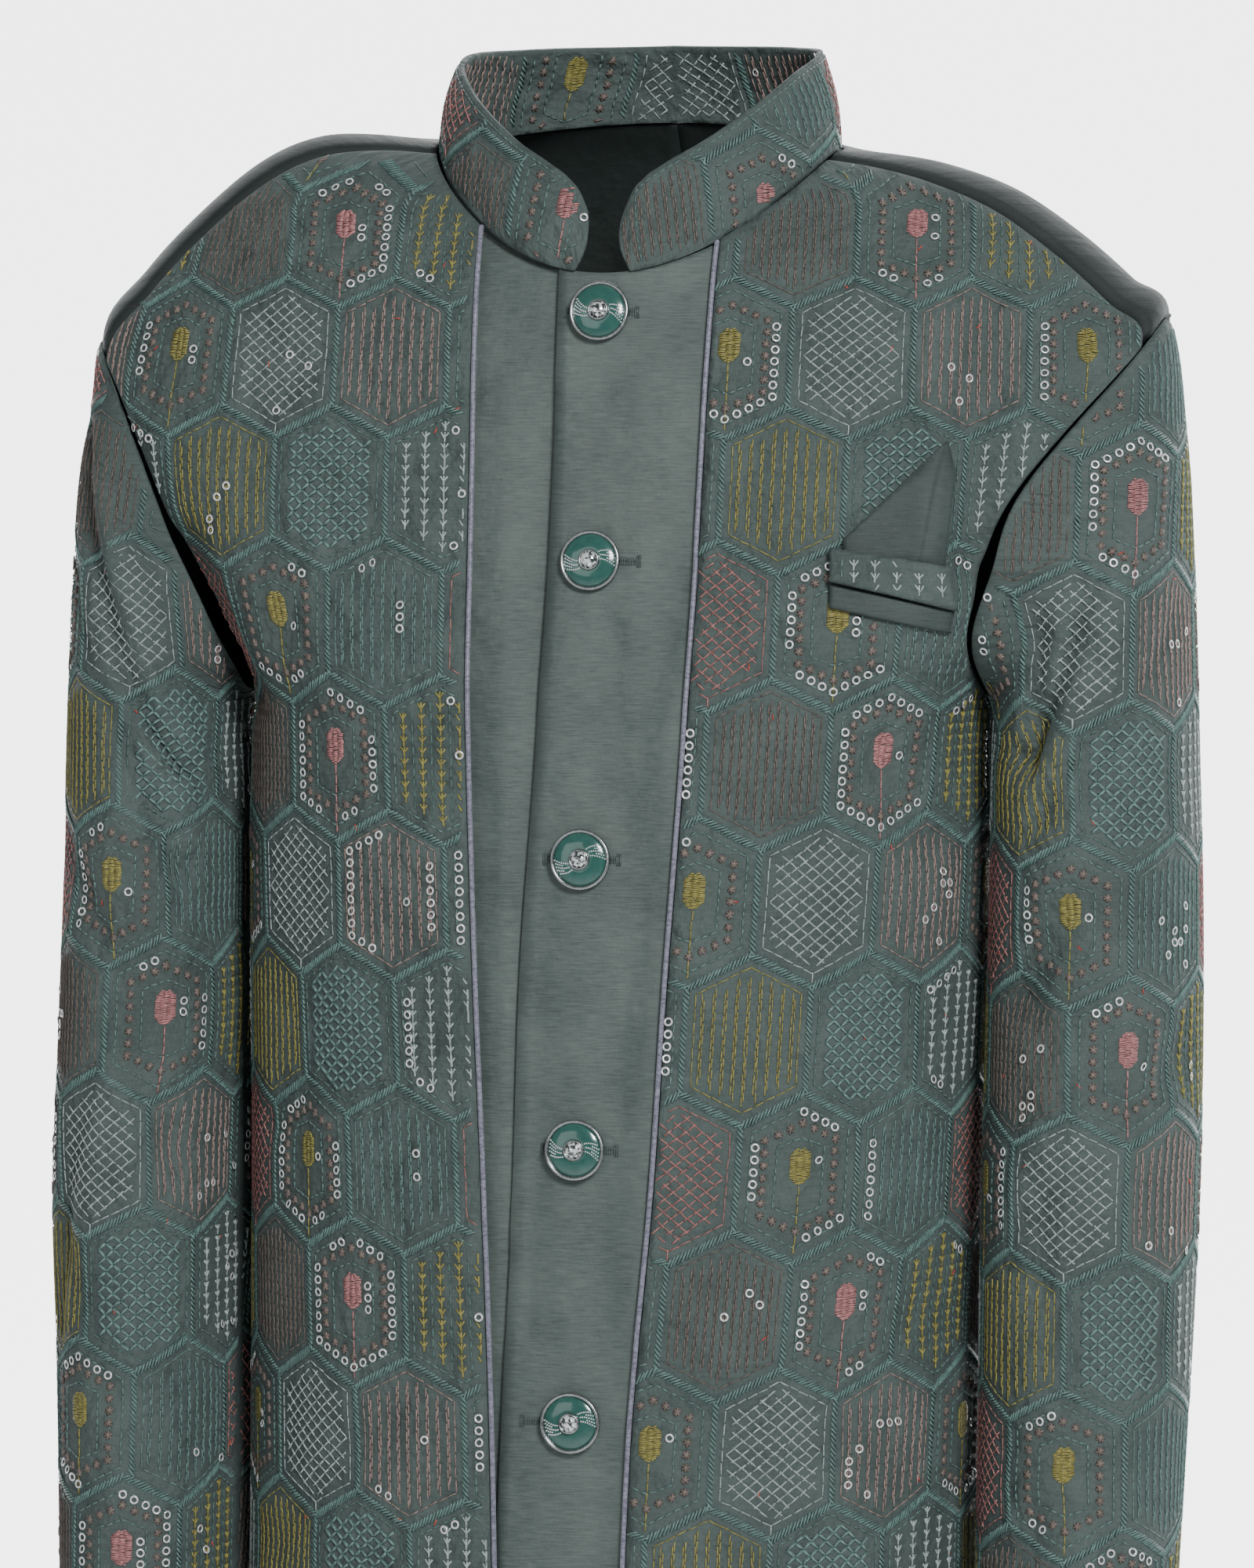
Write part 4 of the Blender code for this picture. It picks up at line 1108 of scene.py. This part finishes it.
# Stitches laid on a ground: rows of across, down, across, down, width in pattern millimetres
def sew(ground, colour, rows):
    rows = np.array(rows, float)
    if not len(rows):
        return
    rows = rows + dice.normal(0, handShake, rows.shape) * np.array([1, 1, 1, 1, 0.4])
    start, normalA, okA = ground.at(rows[:, 0], rows[:, 1])
    end, normalB, okB = ground.at(rows[:, 2], rows[:, 3])
    ok = okA & okB & (np.linalg.norm(end - start, axis=-1) < longest)
    normal = (normalA + normalB) / 2
    stitches.setdefault(colour, []).append(np.concatenate(
        [start[ok], end[ok], normal[ok], rows[ok, 4:5]], axis=1))


def scatterSequins(ground, rows):
    rows = np.array(rows, float).reshape(-1, 2)
    place, normal, ok = ground.at(rows[:, 0], rows[:, 1])
    sequins.append(np.concatenate([place[ok], normal[ok]], axis=1))


# The chart's hexagons over a whole ground, from a first row and column; lean moves each row along
def embroider(ground, startX, startRow, startDown, sequinRate=1.0, lean=0.0):
    low = ground.low
    high = [low[k] + ground.good.shape[1 - k] * ground.pitch for k in (0, 1)]
    rowLow = int(math.floor((low[1] - startDown) / cell["pitchY"])) - 1
    rowHigh = int(math.ceil((high[1] - startDown) / cell["pitchY"])) + 1
    bank, dots = {}, []
    mirrored = np.array([1, -1, 1, -1, 1])
    margin, furthest, redShare, redLength = 25, 8, 0.5, 1.8
    for r in range(rowLow, rowHigh + 1):
        kind = (r + startRow) % 4
        shift = cell["pitchX"] / 2 if kind % 2 else 0.0
        for c in range(-furthest, furthest + 1):
            cx = startX + c * cell["pitchX"] + shift + lean * r
            cy = startDown + r * cell["pitchY"]
            if cx < low[0] - margin or cx > high[0] + margin:
                continue
            column = (c + 1) % 3
            for group in (chart[kind][column], border):
                for colour, rows in group.items():
                    part = np.array(rows, float) * mirrored + np.array([cx, cy, cx, cy, 0])
                    bank.setdefault(colour, []).append(part)
            dots += [(cx + x, cy - y) for x, y in ringRun(kind, column, sequinRate)]
            if dice.random() < redShare:
                x, y, turn = cx + dice.uniform(-17, 17), cy + dice.uniform(-20, 20), dice.uniform(0, 3.14)
                end = (x + math.cos(turn) * redLength, y + math.sin(turn) * redLength)
                bank.setdefault("red", []).append(np.array([(x, y, *end, 0.45)]))
    for colour, parts in bank.items():
        sew(ground, colour, np.concatenate(parts))
    if dots:
        scatterSequins(ground, dots)


embroider(groundRight, -62.0, 0, 48.0, 1.6)
embroider(groundLeft, 42.0, 0, 48.0, 1.15)
embroider(sleeveGround(1), -12.0, 2, 52.0)
embroider(sleeveGround(-1), 9.0, 0, 126.0, 1.0, -2.4)
for ground, startX, startRow in zip(collarGrounds, (8.0, -6.0, 0.0, 10.0), (3, 3, 1, 1)):
    embroider(ground, startX, startRow, 6.0, 0.5)
embroider(patches["pocket_welt"][1], 35.0, 1, 111.0, 0.3)
print("stitches placed")


# One mesh for each thread, a copy of the bar for each stitch
def makeThreads(colour):
    rows = np.concatenate(stitches[colour])
    start, end, normal, width = rows[:, 0:3], rows[:, 3:6], rows[:, 6:9], rows[:, 9:10]
    flatness, lift = 0.62, 0.24
    side = unit(np.cross(normal, end - start)) * width
    middle, high = (start + end) / 2 + normal * lift, normal * width * flatness
    points, faces = copied(bar, middle, side, high, end - start)
    joined(colour + "Stitches", points, faces, looks[colour])


buttonhole = {"reach": 10.6, "edge": 0.55, "pitch": 0.75, "tack": 1.7, "shift": (0, 3.2, 0, 1.0, -3.8, 0)}
buttonHeights = (-35.0, -107.5, -194.0, -278.0, -357.0, -437.0)


def addStitches(colour, start, end, normal, width):
    wide = np.full((len(start), 1), width)
    stitches.setdefault(colour, []).append(np.concatenate([start, end, normal, wide], axis=1))


def makeButtonhole(height, shift):
    reach, edge, tack = buttonhole["reach"], buttonhole["edge"], buttonhole["tack"]
    xs = np.arange(-reach, reach, buttonhole["pitch"])
    marks = [(x, z - 0.5, z + 0.5) for x in xs for z in (-edge, edge)]
    marks += [(x * side, -tack, tack) for side in (-1, 1) for x in (reach, reach + 0.45, reach + 0.9)]
    marks = np.array(marks) + np.array([shift, height, height])
    ends = []
    for z in (marks[:, 1], marks[:, 2]):
        station = stationAt(marks[:, 0], z)
        angle = angleAt(marks[:, 0], station)
        ends.append(coat(angle, station, -layer))
    addStitches("buttonhole", ends[0], ends[1], bodyNormal(angle, station), 0.5)


for height, shift in zip(buttonHeights, buttonhole["shift"]):
    makeButtonhole(height, shift)


# A line of running stitches near the collar's top and front edges
def topstitch(side):
    beside, below = 0.022, 0.06
    parts = np.concatenate([np.linspace(1, beside, 160), np.full(40, beside)])
    downs = np.concatenate([np.full(160, below), np.linspace(below, 0.97, 40)])
    line = collarPoint(parts, downs, side)
    radial = unit(line * np.array([1, 1, 0]))
    run = along(line, 0)
    marks = np.arange(0, run[-1] - 2, 2.5)
    at = [np.stack([np.interp(m, run, line[:, k]) for k in range(3)], -1) for m in (marks, marks + 1.8)]
    normals = np.stack([np.interp(marks, run, radial[:, k]) for k in range(3)], -1)
    addStitches("border", at[0], at[1], normals, 0.45)


topstitch(1.0)
topstitch(-1.0)
print("stitches", {colour: sum(len(rows) for rows in parts) for colour, parts in stitches.items()})
for colour, (_, _, slot) in threads.items():
    if colour in stitches:
        makeThreads(colour)


def makeSequins():
    rows = np.concatenate(sequins)
    place, normal = rows[:, :3], unit(rows[:, 3:] + dice.normal(0, 0.12, (len(rows), 3)))
    side = unit(np.cross(normal, np.array([0.0, 0.0, 1.0])))
    points, faces = copied(ringlet, place + normal * 0.45, side, np.cross(side, normal), normal)
    joined("ringSequins", points, faces, looks["sequin"])
    return len(rows)


print("sequins", makeSequins())

button = {"lift": 0.35, "sides": 48, "cupSides": 28, "facets": 10, "twists": (-12, 4, 18, -6, 10, 0)}
faceProfile = ((0, 2.5), (3.0, 2.95), (4.4, 2.85), (5.8, 2.6), (7.0, 2.2), (7.7, 1.85), (8.0, 1.5))
rimProfile = ((7.5, 1.6), (7.9, 2.45), (8.3, 2.8), (8.75, 2.6), (8.9, 2.0), (8.8, 0.8), (8.4, 0), (7.4, 0))
cupProfile = ((3.2, 2.4), (3.15, 3.2), (2.95, 3.9), (2.7, 4.1), (2.5, 3.9), (2.4, 3.3), (2.3, 2.9), (0, 2.8))
faceRadii, faceHeights = zip(*faceProfile[1:6])
stoneProfile = ((0, 3.0), (2.55, 3.75), (2.6, 3.9), (1.5, 4.75), (0, 4.85))


# A turned piece on the button's own axis, from a half section in millimetres
def turned(name, profile, sides, look, smooth=True):
    mesh = bpy.data.meshes.new(name)
    points = [(r * mm, 0, z * mm) for r, z in profile]
    mesh.from_pydata(points, [(i, i + 1) for i in range(len(points) - 1)], [])
    piece = bpy.data.objects.new(name, mesh)
    bpy.context.collection.objects.link(piece)
    bpy.context.view_layer.objects.active = piece
    screw = piece.modifiers.new("turn", "SCREW")
    screw.steps = screw.render_steps = sides
    screw.use_merge_vertices = True
    screw.merge_threshold = 0.00001
    bpy.ops.object.modifier_apply(modifier="turn")
    shape = bmesh.new()
    shape.from_mesh(mesh)
    bmesh.ops.recalc_face_normals(shape, faces=shape.faces)
    if shape.faces and sum(f.normal.z * f.calc_area() for f in shape.faces) < 0:
        bmesh.ops.reverse_faces(shape, faces=shape.faces)
    shape.to_mesh(mesh)
    shape.free()
    mesh.materials.append(looks[look])
    if smooth:
        mesh.shade_smooth()
    return piece


# Small dots in a band across the face, waisted at the cup and curved like a slack S
def bandDots():
    places = []
    radius, pitch = 7.4, 0.6
    for x in np.arange(-7.2, 7.3, pitch):
        reach = 0.7 + 1.4 * abs(x / radius) ** 1.4
        middle = 1.3 * math.sin(x / radius * math.pi)
        for y in np.linspace(-reach, reach, 3 if abs(x) < 5 else 5):
            r = math.hypot(x, middle + y)
            if 3.3 < r < 7.5:
                places.append((x, middle + y, np.interp(r, faceRadii, faceHeights) + 0.08))
    return places


def makeButton(number, height):
    station = float(stationAt(0.0, height))
    seat = coat(90.0, station, button["lift"] - layer)
    normal = bodyNormal(90.0, station)
    turn = Vector(normal).to_track_quat("Z", "Y").to_matrix().to_4x4()
    matrix = Matrix.Translation(Vector(seat) * mm) @ turn
    twist = Matrix.Rotation(math.radians(button["twists"][number - 1]), 4, "Z")
    name = f"button_{number}"
    parts = [turned(name + "_face", faceProfile, button["sides"], "enamel"),
             turned(name + "_rim", rimProfile, button["sides"], "metal"),
             turned(name + "_cup", cupProfile, button["cupSides"], "metal")]
    gem = turned(f"button_stone_{number}_gem", stoneProfile, button["facets"], "stone", False)
    dots = np.array(bandDots())
    points, faces = copied(dot, dots, *(np.ones((len(dots), 1)) * axis for axis in np.eye(3)))
    mesh = bpy.data.meshes.new(name + "_band")
    mesh.from_pydata((points * mm).tolist(), [], faces.tolist())
    mesh.materials.append(looks["sequin"])
    band = bpy.data.objects.new(name + "_band", mesh)
    bpy.context.collection.objects.link(band)
    for piece in parts + [gem, band]:
        piece.data.transform(matrix @ twist)
    for piece, slot in zip(parts + [band], ("button_enamel",) + ("button_metal",) * 3):
        settle(piece, name)
    settle(gem, f"button_stone_{number}")


for number, height in enumerate(buttonHeights, start=1):
    makeButton(number, height)
print("buttons made")


studio = {
    "world": 0.26, "backdrop": 3.9, "floorSize": 18, "floorZ": -1.45, "backdropSize": 16, "backdropY": 5.2,
    "aim": (0.0, -0.024, -0.1765),
    "lamps": (("key", (1.15, -2.05, 1.0), 0.6, 66.0), ("fill", (-1.0, -2.3, 0.4), 1.2, 6.0),
              ("back", (0.6, 1.9, 1.6), 1.2, 4.0)),
    "azimuth": 12.0, "elevation": 4.0, "distance": 2.1, "lens": 161.0,
}


# A pale floor and backdrop, with soft light from the photo's front right and above
def setStage():
    bpy.ops.mesh.primitive_plane_add(size=studio["floorSize"], location=(0, 1.5, studio["floorZ"]))
    floor = bpy.context.object
    floor.name = "floor"
    pale = Look("paleFloor", Roughness=0.9)
    pale.feed("Base Color", pale.mix(pale.noise((3, 3, 3), 2.0, 0.5, "Object"), rgb(232, 232, 232),
                                     rgb(238, 238, 238)))
    floor.data.materials.append(pale.material)
    bpy.ops.mesh.primitive_plane_add(size=studio["backdropSize"], location=(0, studio["backdropY"], 0),
                                     rotation=(math.pi / 2, 0, 0))
    backdrop = bpy.context.object
    backdrop.name = "backdrop"
    glow = Look("paleBackdrop", Roughness=1.0, Emission_Strength=studio["backdrop"])
    glow.shader.inputs["Emission Color"].default_value = (0.93, 0.935, 0.94, 1)
    glow.shader.inputs["Base Color"].default_value = (0.8, 0.8, 0.8, 1)
    backdrop.data.materials.append(glow.material)
    world = bpy.data.worlds.new("studio")
    world.use_nodes = True
    sky = world.node_tree.nodes["Background"].inputs
    sky["Color"].default_value = (0.84, 0.85, 0.86, 1)
    sky["Strength"].default_value = studio["world"]
    bpy.context.scene.world = world
    for name, place, size, power in studio["lamps"]:
        bpy.ops.object.light_add(type="AREA", location=place)
        lamp = bpy.context.object
        lamp.name = name
        lamp.data.size = size
        lamp.data.energy = power
        lamp.rotation_euler = (Vector(studio["aim"]) - Vector(place)).to_track_quat("-Z", "Y").to_euler()


# The camera at the photo's angle
def setCamera():
    bpy.ops.object.camera_add()
    camera = bpy.context.object
    around, up = math.radians(studio["azimuth"]), math.radians(studio["elevation"])
    aim = Vector(studio["aim"])
    direction = (math.sin(around) * math.cos(up), -math.cos(around) * math.cos(up), math.sin(up))
    camera.location = aim + studio["distance"] * Vector(direction)
    camera.rotation_euler = (aim - camera.location).to_track_quat("-Z", "Y").to_euler()
    camera.data.lens = studio["lens"]
    camera.data.sensor_width = 36
    camera.data.sensor_fit = "AUTO"
    bpy.context.scene.camera = camera


setStage()
setCamera()
